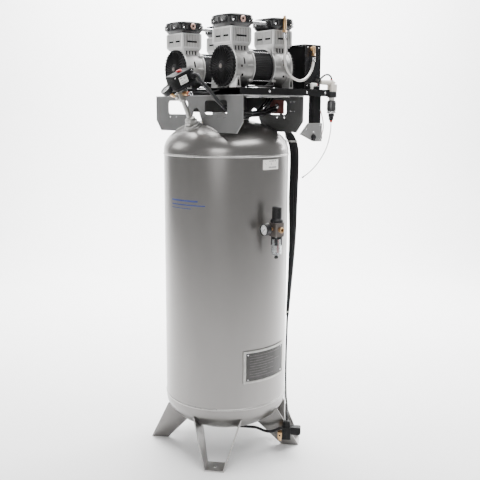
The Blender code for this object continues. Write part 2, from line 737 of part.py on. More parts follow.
def build_switch_group(trim):
    place = switch_place()
    # bung, reducer, riser and manifold
    profile = [(0.0, -0.030), (0.034, -0.030), (0.034, 0.012), (0.028, 0.015), (0.028, 0.024),
               (0.022, 0.024), (0.022, 0.036), (0.010, 0.040), (0.010, 0.126), (0.0, 0.126)]
    manifold = lathe("riser_manifold", profile, steel(), 16, place)
    bm = bmesh.new()
    add_box(bm, (-0.016, -0.020, 0.118), (0.016, 0.026, 0.1545), place)
    fuse(manifold, finish("manifold_block", bm, None, smooth=False))
    cut(manifold, trim)
    # switch box
    bm = bmesh.new()
    outline = rounded_rectangle(-0.029, -0.026, 0.031, 0.072, 0.006, 2)
    add_prism(bm, outline, 0.155, 0.2150, place)
    switch = finish("pressure_switch", bm, black_plastic())
    bm = bmesh.new()
    gland = place @ Matrix.Translation((0.029, 0.056, 0.188)) @ Matrix.Rotation(radians(90), 4, "Y")
    add_lathe(bm, rod_profile(0.0125, 0.0, 0.023), 12, gland)
    fuse(switch, finish("switch_gland", bm, None))
    # on-off lever, standing on a stub on the switch's top
    bm = bmesh.new()
    lever_at = place @ Matrix.Translation((0.004, 0.028, 0.2153))
    add_lathe(bm, rod_profile(0.008, 0.0, 0.006), 12, lever_at)
    lever = finish("switch_lever", bm, red_plastic())
    bm = bmesh.new()
    add_box(bm, (-0.004, -0.022, 0.002), (0.004, 0.004, 0.009), lever_at)
    fuse(lever, finish("switch_lever_arm", bm, None, smooth=False))
    # gauge on the manifold, its dial turned up
    face = Vector((0.0, -0.74, 0.67)).normalized()
    centre = Vector((0.018, -0.300, 1.492))
    build_gauge("tank_gauge", centre, face, 0.0215, 0.024, place @ Vector((0.0, -0.0285, 0.140)))
    # relief valve on the manifold's right
    turn = place @ Matrix.Translation((0.0150, 0.004, 0.137)) @ Matrix.Rotation(radians(90), 4, "Y")
    profile = [(0.0, 0.0), (0.0075, 0.0), (0.0075, 0.010), (0.0095, 0.010), (0.0095, 0.026),
               (0.0060, 0.029), (0.0060, 0.034), (0.0, 0.034)]
    fuse(manifold, lathe("relief_valve", profile, None, 12, turn))
    ring = turn @ Matrix.Translation((0, 0, 0.0363))
    bm = bmesh.new()
    add_lathe(bm, rod_profile(0.0040, -0.0020, 0.006), 10, ring)
    pull = finish("relief_ring", bm, steel())
    bm = bmesh.new()
    circle = ring @ Matrix.Translation((0, 0, 0.0135)) @ Matrix.Rotation(radians(90), 4, "X")
    add_lathe(bm, ring_profile(0.0065, 0.0095, -0.0012, 0.0012), 16, circle)
    fuse(pull, finish("relief_ring_loop", bm, None))


def build_gauge(name, centre, facing, radius, depth, socket):
    """Round gauge cup with a stem to its socket, and a needle on the dial. centre is at the glass."""
    place = along(facing, centre)
    profile = [(0.0, -depth), (radius * 0.86, -depth), (radius, -depth * 0.8), (radius, 0.0),
               (radius * 0.90, 0.0), (radius * 0.88, -0.004), (0.0022, -0.004), (0.0022, -0.010), (0.0, -0.010)]
    cup = lathe(name, profile, black_plastic(), 16, place)
    back = Vector(centre) - Vector(facing) * (depth - 0.003)
    reach = Vector(socket) - back
    bm = bmesh.new()
    add_lathe(bm, rod_profile(0.0065, 0.0, reach.length), 10, along(reach, back))
    fuse(cup, finish(name + "_stem", bm, None))
    bm = bmesh.new()
    add_lathe(bm, rod_profile(0.0016, -0.009, -0.0015), 8, place)
    needle = finish(name + "_needle", bm, red_plastic())
    bm = bmesh.new()
    add_box(bm, (-0.0007, -radius * 0.72, -0.0030), (0.0007, radius * 0.22, -0.0020), place)
    fuse(needle, finish(name + "_pointer", bm, None, smooth=False))


# ---- filter regulator on the tank's side ----------------------------------------------------------
def build_regulator(trim):
    centre = Matrix.Translation((REG_X, REG_Y, REG_Z))
    bm = bmesh.new()
    outline = rounded_rectangle(-0.022, -0.022, 0.022, 0.022, 0.008, 3)
    add_prism(bm, outline, -0.027, 0.027, centre)
    body = finish("regulator_body", bm, cast_aluminium())
    bm = bmesh.new()
    add_lathe(bm, rod_profile(0.0085, TANK_R - 0.02, REG_X - 0.010), 12, along((1, 0, 0), (0, REG_Y, REG_Z)))
    add_lathe(bm, rod_profile(0.0110, REG_X + 0.012, REG_X + 0.033), 12, along((1, 0, 0), (0, REG_Y, REG_Z)))
    fuse(body, finish("regulator_ports", bm, None))
    bm = bmesh.new()
    add_lathe(bm, rod_profile(0.0180, TANK_R - 0.02, TANK_R + 0.010), 16, along((1, 0, 0), (0, REG_Y, REG_Z)))
    fuse(body, finish("regulator_bung", bm, None))
    cut(body, trim)
    # black bonnet ring and knob
    knob_low = REG_Z + 0.027 + GAP
    profile = [(0.0, knob_low), (0.0245, knob_low), (0.0245, knob_low + 0.010), (0.0195, knob_low + 0.014),
               (0.0185, knob_low + 0.024), (0.0180, 1.050), (0.0165, 1.053), (0.0, 1.053)]
    lathe("regulator_knob", profile, black_plastic(), 20, Matrix.Translation((REG_X, REG_Y, 0)))
    # bowl under the body
    top = REG_Z - 0.027 - GAP
    profile = [(0.0, top), (0.0215, top), (0.0215, top - 0.020), (0.0195, top - 0.022), (0.0200, 0.880),
               (0.0165, 0.867), (0.0070, 0.865), (0.0070, 0.864), (0.0, 0.864)]
    lathe("regulator_bowl", profile, clear_plastic(), 20, Matrix.Translation((REG_X, REG_Y, 0)))
    low = 0.864 - GAP
    cock = [(0.0, low), (0.0060, low), (0.0060, low - 0.006), (0.0, low - 0.006)]
    drain = lathe("bowl_drain", cock, black_plastic(), 12, Matrix.Translation((REG_X, REG_Y, 0)))
    bm = bmesh.new()
    add_box(bm, (REG_X - 0.002, REG_Y - 0.0085, low - 0.013), (REG_X + 0.002, REG_Y + 0.0085, low - 0.005))
    fuse(drain, finish("bowl_drain_wing", bm, None, smooth=False))
    # gauge on the side facing -Y
    facing = Vector((0.0, -1.0, 0.0))
    face = Vector((REG_X, REG_Y - 0.066, REG_Z + 0.003))
    build_gauge("regulator_gauge", face, facing, 0.0225, 0.026, (REG_X, REG_Y - 0.022 - GAP, REG_Z + 0.003))


# ---- automatic drain by the rear right leg --------------------------------------------------------
def build_drain(trim):
    """Timer drain valve beside the rear right leg, fed by a pipe from the bottom of the tank.

    It is laid out in the leg's own frame: X outwards, Y sideways.
    """
    turn = Matrix.Rotation(radians(45), 4, "Z")
    side = -0.1010
    inlet_z = 0.1035
    bm = bmesh.new()
    add_box(bm, (0.255, side - 0.018, 0.058), (0.292, side + 0.018, 0.118), turn)
    valve = finish("drain_valve", bm, black_plastic(), smooth=False)
    bm = bmesh.new()
    add_box(bm, (0.288, side - 0.015, 0.080), (0.333, side + 0.015, 0.113), turn)
    fuse(valve, finish("drain_coil", bm, None, smooth=False))
    bm = bmesh.new()
    add_lathe(bm, rod_profile(0.015, 0.110, 0.136), 14, turn @ Matrix.Translation((0.2740, side, 0)))
    fuse(valve, finish("drain_timer", bm, None))
    bm = bmesh.new()
    add_sweep(bm, [(0.0, 0.0, 0.062), (0.030, 0.003, 0.064), (0.062, 0.006, 0.072), (0.095, 0.010, 0.080),
                   (0.125, 0.022, 0.086), (0.158, 0.044, 0.088), (0.185, 0.062, 0.080), (0.208, 0.078, 0.078),
                   (0.228, 0.092, 0.088),
                   turn @ Vector((0.245, side, 0.1000)), turn @ Vector((0.262, side, inlet_z))], 0.0060, 10)
    fuse(valve, finish("drain_pipe", bm, None))
    bm = bmesh.new()
    add_lathe(bm, rod_profile(0.0130, 0.046, 0.100), 12)
    fuse(valve, finish("drain_bung", bm, None))
    cut(valve, trim)


# ---- cables and thin tubes that are held all the way ------------------------------------------------
def build_cables():
    place = switch_place()
    supply = [place @ Vector((0.0545, 0.056, 0.188)), place @ Vector((0.0700, 0.056, 0.1875)),
              (0.104, -0.194, 1.5190), (0.131, -0.183, 1.493), (0.153, -0.171, 1.466),
              (0.172, -0.159, 1.440), (0.186, -0.146, 1.424), (0.189, -0.110, 1.416), (0.176, -0.040, 1.402),
              (0.160, 0.060, 1.404), (0.146, 0.130, 1.420), (0.136, 0.170, 1.412), (0.126, 0.188, 1.3890),
              (0.120, 0.1985, 1.3708), (0.120, 0.2045, 1.3603)]
    tube("supply_cable", supply, 0.0085, 44, rubber())
    trunk = [(0.120, 0.2048, 1.3598), (0.120, 0.2148, 1.3425), (0.122, 0.243, 1.305), (0.122, 0.264, 1.250),
             (0.122, 0.266, 1.150), (0.1235, 0.262, 1.060), (0.124, 0.262, 0.885), (0.117, 0.260, 0.723),
             (0.1115, 0.258, 0.624), (0.110, 0.254, 0.540), (0.109, 0.2515, 0.420), (0.109, 0.2505, 0.330),
             (0.1105, 0.2495, 0.250), (0.130, 0.2340, 0.205), (0.175, 0.1980, 0.180), (0.222, 0.1620, 0.168),
             (0.254, 0.1330, 0.162), (0.2652, 0.1223, 0.153), (0.2652, 0.1223, 0.1385)]
    tube("cable_trunk", trunk, 0.0042, 56, rubber(), 0.0170)
    purge = [(0.250, 0.3475, 1.3655), (0.250, 0.346, 1.330), (0.246, 0.330, 1.265), (0.225, 0.305, 1.205),
             (0.190, 0.293, 1.165), (0.150, 0.292, 1.140)]
    tube("purge_tube", purge, 0.0022, 32, white_plastic())


def centre_on_floor(objects):
    """Move everything so that the box's bottom centre is the origin."""
    bpy.context.view_layer.update()
    graph = bpy.context.evaluated_depsgraph_get()
    corners = []
    for obj in objects:
        if obj.hide_render:
            continue
        shape = obj.evaluated_get(graph)
        mesh = shape.to_mesh()
        corners += [obj.matrix_world @ vert.co for vert in mesh.vertices]
        shape.to_mesh_clear()
    low = [min(c[i] for c in corners) for i in range(3)]
    high = [max(c[i] for c in corners) for i in range(3)]
    middle = Vector(((low[0] + high[0]) / 2, (low[1] + high[1]) / 2, low[2]))
    frame = bpy.data.objects.new("part_frame", None)
    bpy.context.scene.collection.objects.link(frame)
    for obj in objects:
        obj.parent = frame
    frame.location = -middle


def main():
    for obj in list(bpy.data.objects):
        bpy.data.objects.remove(obj)
    trim = tank_solid("tank_outline")
    build_tank()
    for name, angle in (("leg_front_right", -45), ("leg_front_left", -135),
                        ("leg_rear_left", 135), ("leg_rear_right", 45)):
        leg(name, radians(angle), trim)
    build_data_plate()
    build_deck(trim)
    build_base("pump_base_left", LEFT_X, BASE_REAR_LEFT)
    add_rear_post(build_base("pump_base_right", RIGHT_X, BASE_REAR_RIGHT))
    build_pump("left", LEFT_X)
    build_pump("right", RIGHT_X)
    build_aftercooler()
    build_hose()
    build_filter()
    build_switch_group(trim)
    build_regulator(trim)
    build_drain(trim)
    build_cables()
    centre_on_floor(list(bpy.data.objects))


main()
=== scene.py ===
"""Vertical tank compressor: the visible model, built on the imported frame.

Lengths are in metres and +Z is up. The pieces are laid out about the tank's axis, with the floor at z = 0,
as the frame itself is, and are moved to the frame's own axis when they are made.
"""
from math import ceil, cos, pi, radians, sin, sqrt

import bmesh
import bpy
from mathutils import Matrix, Vector


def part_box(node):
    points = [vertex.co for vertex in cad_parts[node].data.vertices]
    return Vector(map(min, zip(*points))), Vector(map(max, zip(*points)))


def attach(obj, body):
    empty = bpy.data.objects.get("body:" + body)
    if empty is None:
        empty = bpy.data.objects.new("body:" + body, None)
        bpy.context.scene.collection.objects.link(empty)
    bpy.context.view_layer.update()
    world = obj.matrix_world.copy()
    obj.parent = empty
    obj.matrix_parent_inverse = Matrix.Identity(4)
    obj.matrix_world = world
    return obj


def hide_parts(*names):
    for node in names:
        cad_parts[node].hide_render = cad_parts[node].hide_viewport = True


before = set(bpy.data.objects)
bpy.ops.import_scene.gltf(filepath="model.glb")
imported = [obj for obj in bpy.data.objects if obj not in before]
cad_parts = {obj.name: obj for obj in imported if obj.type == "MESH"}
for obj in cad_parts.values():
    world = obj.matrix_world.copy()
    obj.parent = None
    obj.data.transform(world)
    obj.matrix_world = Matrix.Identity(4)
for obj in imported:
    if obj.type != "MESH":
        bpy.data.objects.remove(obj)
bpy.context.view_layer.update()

shell_low, shell_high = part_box("tank_shell")
AXIS = Vector(((shell_low.x + shell_high.x) / 2, (shell_low.y + shell_high.y) / 2, 0.0))

# ---- dimensions shared with the frame ------------------------------------------------------------
TANK_R = 0.254
TANK_WALL = 0.003
SEAM_LOW = 0.23                   # the two welds round the tank
SEAM_HIGH = 1.242
FLANGE = 0.015                    # straight stretch of a head
DEPTH = 0.127                     # of a head's dome
DECK_Z = 1.471
BASE_TOP = 1.4977
SHAFT_Z = 1.5765
LEFT_X = -0.155                   # the two pumps' shafts
RIGHT_X = 0.168
BORE_Y = 0.1                      # a cylinder's distance from the middle of its pump
BORE_R = 0.029
BLOCK_LOW = 1.657
BLOCK_HIGH = 1.716
HEAD_LOW = 1.7163


# ---- materials -----------------------------------------------------------------------------------
def surface(name, colour, roughness, metallic=0.0, vary=0.08, patch=60.0, grain=900.0, bump=0.05,
            rough_vary=0.08, stretch=(1, 1, 1), coat=0.0, wear=None, wear_amount=0.5, alpha=1.0,
            transmission=0.0, specular=0.5):
    """Principled material with patchy colour, fine grain in bump and roughness, and worn edges."""
    mat = bpy.data.materials.new(name)
    mat.use_nodes = True
    tree = mat.node_tree
    shader = tree.nodes["Principled BSDF"]
    shader.inputs["Metallic"].default_value = metallic
    shader.inputs["Coat Weight"].default_value = coat
    shader.inputs["Coat Roughness"].default_value = 0.12
    shader.inputs["Alpha"].default_value = alpha
    shader.inputs["Transmission Weight"].default_value = transmission
    shader.inputs["Specular IOR Level"].default_value = specular

    def node(kind, **values):
        made = tree.nodes.new(kind)
        for key, value in values.items():
            setattr(made, key, value)
        return made

    where = node("ShaderNodeTexCoord")
    scale = node("ShaderNodeMapping")
    scale.inputs["Scale"].default_value = stretch
    tree.links.new(where.outputs["Object"], scale.inputs["Vector"])
    large = node("ShaderNodeTexNoise")
    large.inputs["Scale"].default_value = patch
    large.inputs["Detail"].default_value = 5.0
    large.inputs["Roughness"].default_value = 0.6
    fine = node("ShaderNodeTexNoise")
    fine.inputs["Scale"].default_value = grain
    fine.inputs["Detail"].default_value = 3.0
    for noise in (large, fine):
        tree.links.new(scale.outputs["Vector"], noise.inputs["Vector"])
    tint = node("ShaderNodeValToRGB")
    low = [max(c * (1 - vary), 0.0) for c in colour]
    high = [min(c * (1 + vary), 1.0) for c in colour]
    tint.color_ramp.elements[0].position = 0.32
    tint.color_ramp.elements[1].position = 0.68
    tint.color_ramp.elements[0].color = (*low, 1.0)
    tint.color_ramp.elements[1].color = (*high, 1.0)
    tree.links.new(large.outputs["Fac"], tint.inputs["Fac"])
    last = tint.outputs["Color"]
    if wear:
        shape = node("ShaderNodeNewGeometry")
        edge = node("ShaderNodeMapRange")
        edge.inputs["From Min"].default_value = 0.53
        edge.inputs["From Max"].default_value = 0.62
        edge.inputs["To Max"].default_value = wear_amount
        tree.links.new(shape.outputs["Pointiness"], edge.inputs["Value"])
        worn = node("ShaderNodeMix", data_type="RGBA")
        worn.inputs["B"].default_value = (*wear, 1.0)
        tree.links.new(edge.outputs["Result"], worn.inputs["Factor"])
        tree.links.new(last, worn.inputs["A"])
        last = worn.outputs["Result"]
    tree.links.new(last, shader.inputs["Base Color"])
    gloss = node("ShaderNodeMapRange")
    gloss.inputs["To Min"].default_value = max(roughness - rough_vary, 0.02)
    gloss.inputs["To Max"].default_value = min(roughness + rough_vary, 1.0)
    tree.links.new(large.outputs["Fac"], gloss.inputs["Value"])
    tree.links.new(gloss.outputs["Result"], shader.inputs["Roughness"])
    if bump:
        relief = node("ShaderNodeBump")
        relief.inputs["Strength"].default_value = bump
        relief.inputs["Distance"].default_value = 0.001
        tree.links.new(fine.outputs["Fac"], relief.inputs["Height"])
        tree.links.new(relief.outputs["Normal"], shader.inputs["Normal"])
    return mat


SILVER = surface("silver_paint", (0.235, 0.227, 0.22), 0.29, 0.84, vary=0.035, patch=5.0, grain=650.0,
                 bump=0.06, rough_vary=0.04, stretch=(1, 1, 0.25), coat=0.1)
WELD = surface("weld_bead", (0.42, 0.41, 0.4), 0.3, 0.85, vary=0.1, patch=90.0, grain=260.0, bump=0.5)
DECK = surface("deck_paint", (0.165, 0.165, 0.163), 0.4, 0.6, vary=0.06, patch=14.0, grain=700.0,
               bump=0.12, coat=0.05, wear=(0.62, 0.62, 0.61), wear_amount=0.35)
GLOSS_BLACK = surface("gloss_black", (0.006, 0.006, 0.007), 0.26, vary=0.3, patch=20.0, grain=500.0,
                      bump=0.1, coat=0.08, wear=(0.03, 0.03, 0.03), wear_amount=0.3, specular=0.4)
BLACK = surface("black_paint", (0.007, 0.007, 0.0075), 0.5, vary=0.25, patch=25.0, grain=700.0, bump=0.12,
                wear=(0.03, 0.03, 0.03), wear_amount=0.15, specular=0.18)
PLASTIC = surface("black_plastic", (0.008, 0.008, 0.009), 0.42, vary=0.15, patch=30.0, grain=1400.0,
                  bump=0.18, wear=(0.04, 0.04, 0.04), wear_amount=0.3, specular=0.3)
CAST = surface("cast_aluminium", (0.335, 0.33, 0.322), 0.34, 0.8, vary=0.18, patch=45.0, grain=1300.0,
               bump=0.4, rough_vary=0.12, wear=(0.86, 0.86, 0.85), wear_amount=0.6)
STEEL = surface("bright_steel", (0.72, 0.72, 0.73), 0.24, 1.0, vary=0.05, grain=1500.0, bump=0.06,
                rough_vary=0.08)
DULL_STEEL = surface("galvanised", (0.36, 0.355, 0.34), 0.4, 0.9, vary=0.14, patch=70.0, grain=500.0,
                     bump=0.15, rough_vary=0.12)
BRASS = surface("brass", (0.56, 0.36, 0.19), 0.3, 1.0, vary=0.1, patch=80.0, bump=0.1)
COPPER = surface("copper", (0.7, 0.45, 0.38), 0.34, 0.9, vary=0.12, patch=120.0, bump=0.1)
BRAID = surface("wire_braid", (0.7, 0.68, 0.65), 0.36, 0.9, vary=0.2, patch=500.0, grain=2500.0, bump=0.4)
RUBBER = surface("cable_sheath", (0.008, 0.008, 0.009), 0.46, vary=0.2, patch=40.0, grain=900.0, bump=0.1,
                 rough_vary=0.1, specular=0.3)
PEWTER = surface("dark_cast", (0.115, 0.1, 0.092), 0.34, 0.65, vary=0.14, grain=1200.0, bump=0.25,
                 rough_vary=0.1, wear=(0.35, 0.33, 0.31), wear_amount=0.5)
# Painted reflection: reddish-brown patch on the inner face of the rear deck plate.
PAINTED_REFLECTION = surface("brown_painted_reflection", (0.15, 0.052, 0.045), 0.45, vary=0.22, patch=40.0, grain=800.0, bump=0.15)
WHITE = surface("white_plastic", (0.74, 0.73, 0.69), 0.42, vary=0.04, patch=40.0, grain=900.0, bump=0.08,
                wear=(0.5, 0.48, 0.44), wear_amount=0.2)
BEIGE = surface("beige_plastic", (0.62, 0.58, 0.52), 0.42, vary=0.05, patch=40.0, bump=0.08)
RED = surface("red_plastic", (0.36, 0.012, 0.012), 0.3, vary=0.08, grain=1200.0, bump=0.06)
MAROON = surface("brown_red_tube", (0.16, 0.03, 0.025), 0.35, vary=0.15, bump=0.05)
CLEAR = surface("clear_plastic", (0.82, 0.85, 0.86), 0.08, vary=0.03, patch=50.0, grain=700.0, bump=0.04,
                rough_vary=0.04, transmission=0.85)
NYLON = surface("nylon_tube", (0.86, 0.86, 0.85), 0.3, vary=0.04, patch=80.0, grain=700.0, bump=0.04,
                rough_vary=0.05, transmission=0.25)
PAPER = surface("label_paper", (0.78, 0.77, 0.73), 0.5, vary=0.03, grain=1500.0, bump=0.05,
                rough_vary=0.05)
INK = surface("label_ink", (0.05, 0.05, 0.055), 0.55, vary=0.2, patch=90.0, grain=1500.0, bump=0.05)
BLUE = surface("blue_ink", (0.035, 0.055, 0.22), 0.45, vary=0.12, patch=90.0, grain=1500.0, bump=0.04)
DARK_PLATE = surface("dark_plate", (0.06, 0.058, 0.057), 0.45, 0.6, vary=0.2, patch=30.0, grain=600.0,
                     bump=0.18, rough_vary=0.12)
PLATE_LINE = surface("plate_line", (0.115, 0.112, 0.108), 0.45, 0.5, vary=0.15, bump=0.05)
DIAL = surface("dial_face", (0.8, 0.8, 0.79), 0.45, vary=0.02, bump=0.02, rough_vary=0.04)
# Painted shade: near-black colour on the walls and floors of holes, slots, vents and pockets, where shade
# falls.
PAINTED_SHADE = surface("painted_hole_shade", (0.006, 0.006, 0.006), 0.8, vary=0.2, bump=0.0)
LENS = surface("gauge_lens", (0.95, 0.95, 0.95), 0.04, vary=0.01, bump=0.0, rough_vary=0.02, alpha=0.05,
               specular=0.2)
GREY_BOWL = surface("smoked_bowl", (0.045, 0.045, 0.046), 0.22, vary=0.1, bump=0.05, coat=0.3)


# ---- forms ---------------------------------------------------------------------------------------
class Form:
    """A mesh put together from several shapes, about the tank's axis."""

    def __init__(self):
        self.bm = bmesh.new()

    def rings(self, rings, m=0, place=None, closed=False, cap=True):
        """Join rings of points. A ring of one point is a pole."""
        rows = []
        for ring in rings:
            points = [place @ Vector(p) if place else Vector(p) for p in ring]
            rows.append([self.bm.verts.new(p) for p in points])
        pairs = list(zip(rows, rows[1:]))
        if closed:
            pairs.append((rows[-1], rows[0]))
        for a, b in pairs:
            count = max(len(a), len(b))
            for k in range(count):
                j = (k + 1) % count
                if len(a) == 1:
                    corners = (a[0], b[k], b[j])
                elif len(b) == 1:
                    corners = (a[k], b[0], a[j])
                else:
                    corners = (a[k], b[k], b[j], a[j])
                self.bm.faces.new(corners).material_index = m
        if cap and not closed:
            for row in (rows[0], rows[-1]):
                if len(row) > 2:
                    self.bm.faces.new(row).material_index = m
        return self

    def lathe(self, profile, count=40, place=None, m=0):
        """Turn (radius, height) points about Z. A profile that starts off the axis is a closed ring."""
        rings = []
        for radius, height in profile:
            if radius == 0.0:
                rings.append([(0.0, 0.0, height)])
            else:
                turns = [2 * pi * k / count for k in range(count)]
                rings.append([(*polar(radius, a), height) for a in turns])
        return self.rings(rings, m, place, closed=profile[0][0] != 0.0)

    def turned(self, profile, count=40, place=None, m=0):
        """A lathe shape with a flat lower end, and a flat upper end unless the last point is on the axis."""
        ends = [(0.0, profile[0][1])], [(0.0, profile[-1][1])] if profile[-1][0] else []
        return self.lathe(ends[0] + profile + ends[1], count, place, m)

    def rod(self, radius, low, high, count=40, place=None, m=0):
        return self.turned([(radius, low), (radius, high)], count, place, m)

    def sleeve(self, inner, outer, low, high, count=40, place=None, m=0):
        return self.lathe([(inner, low), (outer, low), (outer, high), (inner, high)], count, place, m)

    def hexagon(self, radius, low, high, place=None, m=0, turn=0):
        return self.prism([polar(radius, radians(60 * k + turn)) for k in range(6)], low, high, place, m)

    def prism(self, outline, low, high, place=None, m=0):
        return self.rings([[(x, y, low) for x, y in outline], [(x, y, high) for x, y in outline]], m, place)

    def block(self, low, high, place=None, m=0):
        (x0, y0, z0), (x1, y1, z1) = low, high
        return self.prism([(x0, y0), (x1, y0), (x1, y1), (x0, y1)], z0, z1, place, m)

    def tube(self, points, radius, sides=12, m=0, shape=None):
        """A round section along points. shape(k, a) adds to the radius."""
        points = [Vector(p) for p in points]
        rings = []
        normal = Vector((0.01, 0.02, 1)).normalized()
        for k, point in enumerate(points):
            run = (points[min(k + 1, len(points) - 1)] - points[max(k - 1, 0)]).normalized()
            normal = (normal - run * normal.dot(run)).normalized()
            across = run.cross(normal)
            ring = []
            for j in range(sides):
                a = 2 * pi * j / sides
                r = radius + (shape(k, a) if shape else 0.0)
                ring.append(point + r * (normal * cos(a) + across * sin(a)))
            rings.append(ring)
        return self.rings(rings, m)

    def bolt(self, at, direction, r=0.006, h=0.0045, washer=True, m=0):
        """Hexagon head with a turned-down top on a washer."""
        place = along(direction, at)
        if washer:
            self.turned([(r * 1.45, 0.0), (r * 1.45, 0.001), (r * 1.3, 0.0014)], 24, place, m)
        hexagon = [polar(r, radians(60 * k)) for k in range(6)]
        inner = [(x * 0.86, y * 0.86) for x, y in hexagon]
        self.rings([[(x, y, 0.0012) for x, y in hexagon], [(x, y, h * 0.86) for x, y in hexagon],
                    [(x, y, h) for x, y in inner]], m, place)
        return self

    def screw(self, at, direction, r=0.004, h=0.003, m=0):
        """Round head with a socket in it."""
        place = along(direction, at)
        profile = [(0.0, 0.0), (r, 0.0), (r, h * 0.7), (r * 0.82, h), (r * 0.45, h), (r * 0.42, h * 0.45),
                   (0.0, h * 0.4)]
        return self.lathe(profile, 20, place, m)

    def studs(self, low, high, count, place, start=0.0, m=0):
        """A block repeated about Z."""
        for k in range(count):
            self.block(low, high, place @ Matrix.Rotation(start + 2 * pi * k / count, 4, "Z"), m)

    def hoop(self, radius, wire, place, count=48, sides=6, m=0):
        """A ring of wire about Z."""
        rings = []
        for k in range(count):
            turn = 2 * pi * k / count
            section = [polar(wire, 2 * pi * j / sides) for j in range(sides)]
            rings.append([(*polar(radius + out, turn), up) for out, up in section])
        return self.rings(rings, m, place, closed=True)

    def mesh(self, name, mats):
        """Close the form into a mesh, moved to the frame's own axis."""
        bmesh.ops.recalc_face_normals(self.bm, faces=self.bm.faces)
        mesh = bpy.data.meshes.new(name)
        self.bm.to_mesh(mesh)
        self.bm.free()
        mesh.transform(Matrix.Translation(AXIS))
        for mat in mats:
            mesh.materials.append(mat)
        return mesh

    def make(self, name, mats, body="frame", smooth=38, bevel=0.0, stands_for=(), slot=None):
        """Finish the mesh as a piece that rides on a body."""
        mesh = self.mesh(name, mats)
        mesh.shade_smooth()
        mesh.set_sharp_from_angle(angle=radians(smooth))
        obj = put(name, mesh)
        if bevel:
            soften(obj, bevel)
        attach(obj, body)
        if stands_for:
            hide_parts(*stands_for)
        return obj


def put(name, data):
    """A new object in the scene."""
    obj = bpy.data.objects.new(name, data)
    bpy.context.scene.collection.objects.link(obj)
    return obj


def soften(obj, width):
    """Round the sharp edges."""
    step = obj.modifiers.new("edges", "BEVEL")
    step.width = width
    step.segments = 2
    step.limit_method = "ANGLE"
    step.angle_limit = radians(38)
    step.use_clamp_overlap = True


def polar(radius, angle):
    return radius * cos(angle), radius * sin(angle)


def shift(x, y, z=0):
    return Matrix.Translation((x, y, z))


def along(direction, at=(0, 0, 0)):
    """Local Z points along the direction, from the point."""
    turn = Vector((0, 0, 1)).rotation_difference(Vector(direction)).to_matrix().to_4x4()
    return Matrix.Translation(Vector(at)) @ turn


def along_y(x, z):
    """Local Z is the world's Y, and local X stays."""
    return shift(x, 0, z) @ Matrix.Rotation(radians(-90), 4, "X")


UPRIGHT = Matrix.Rotation(radians(90), 4, "X")        # local (x, y, z) becomes (x, -z, y)
FACE_X = Matrix.Rotation(radians(90), 4, "Y")         # local (x, y, z) becomes (z, y, -x)
QUARTER = Matrix.Rotation(radians(90), 4, "Z")        # local (x, y, z) becomes (-y, x, z)
SIDEWAYS = Matrix(((0, 0, 1, 0), (1, 0, 0, 0), (0, 1, 0, 0), (0, 0, 0, 1)))       # becomes (z, x, y)
EDGEWISE = Matrix(((1, 0, 0, 0), (0, 0, 1, 0), (0, 1, 0, 0), (0, 0, 0, 1)))       # becomes (x, z, y)


def span(end, near, far):
    """A stretch of Y on the front (-1) or rear (1) half, low end first."""
    return sorted((end * near, end * far))


def toothed(count, tips):
    """Outline of a toothed wheel, from the (radius, share of a pitch) points of one tooth."""
    return [polar(r, 2 * pi * (k + share) / count) for k in range(count) for r, share in tips]


def rounded(x0, y0, x1, y1, radius, steps=6):
    """Outline of a rectangle with round corners."""
    points = []
    corners = ((x1 - radius, y1 - radius, 0), (x0 + radius, y1 - radius, 90),
               (x0 + radius, y0 + radius, 180), (x1 - radius, y0 + radius, 270))
    for cx, cy, start in corners:
        for k in range(steps + 1):
            a = radians(start + 90 * k / steps)
            points.append((cx + radius * cos(a), cy + radius * sin(a)))
    return points


def smooth_route(points, count):
    """Evenly spaced points on a smooth curve through the given ones."""
    knots = [Vector(p) for p in points]
    knots = [2 * knots[0] - knots[1]] + knots + [2 * knots[-1] - knots[-2]]
    fine = []
    for k in range(1, len(knots) - 2):
        p0, p1, p2, p3 = knots[k - 1:k + 3]
        for step in range(24):
            t = step / 24
            fine.append(0.5 * (2 * p1 + (p2 - p0) * t + (2 * p0 - 5 * p1 + 4 * p2 - p3) * t * t
                               + (3 * p1 - p0 - 3 * p2 + p3) * t ** 3))
    fine.append(knots[-2])
    lengths = [0.0]
    for a, b in zip(fine, fine[1:]):
        lengths.append(lengths[-1] + (b - a).length)
    route = []
    index = 0
    for k in range(count):
        target = lengths[-1] * k / (count - 1)
        while index < len(fine) - 2 and lengths[index + 1] < target:
            index += 1
        share = (target - lengths[index]) / max(lengths[index + 1] - lengths[index], 1e-9)
        route.append(fine[index].lerp(fine[index + 1], min(share, 1.0)))
    return route


def carve(obj, form, inside=None):
    """Cut a form out of a finished piece, in place, with its own material on the cut faces."""
    tool = put("cutter", form.mesh("cutter", [inside or obj.data.materials[0]]))
    step = obj.modifiers.new("cut", "BOOLEAN")
    step.operation = "DIFFERENCE"
    step.solver = "EXACT"
    step.material_mode = "TRANSFER"
    step.object = tool
    bpy.context.view_layer.update()
    result = bpy.data.meshes.new_from_object(obj.evaluated_get(bpy.context.evaluated_depsgraph_get()))
    obj.modifiers.remove(step)
    obj.data = result
    result.set_sharp_from_angle(angle=radians(38))
    bpy.data.objects.remove(tool)
    return obj


def cad(node, mat, bevel=0.0):
    """Keep a CAD node as it is, with softened edges and a better finish."""
    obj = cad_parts[node]
    obj.data.materials.clear()
    obj.data.materials.append(mat)
    if bevel:
        join = obj.modifiers.new("join", "WELD")
        join.merge_threshold = 0.00002
        soften(obj, bevel)
    return obj


# ---- tank ----------------------------------------------------------------------------------------
def dome_z(x, y):
    """Height of the top head's outer face."""
    return SEAM_HIGH + FLANGE + DEPTH * sqrt(1 - (x * x + y * y) / TANK_R ** 2)


def ellipse(radius, depth, steps):
    """Quarter of an ellipse, from its top to its rim."""
    points = [(radius * sin(pi / 2 * k / steps), depth * cos(pi / 2 * k / steps)) for k in range(steps + 1)]
    points[0] = (0.0, depth)
    return points


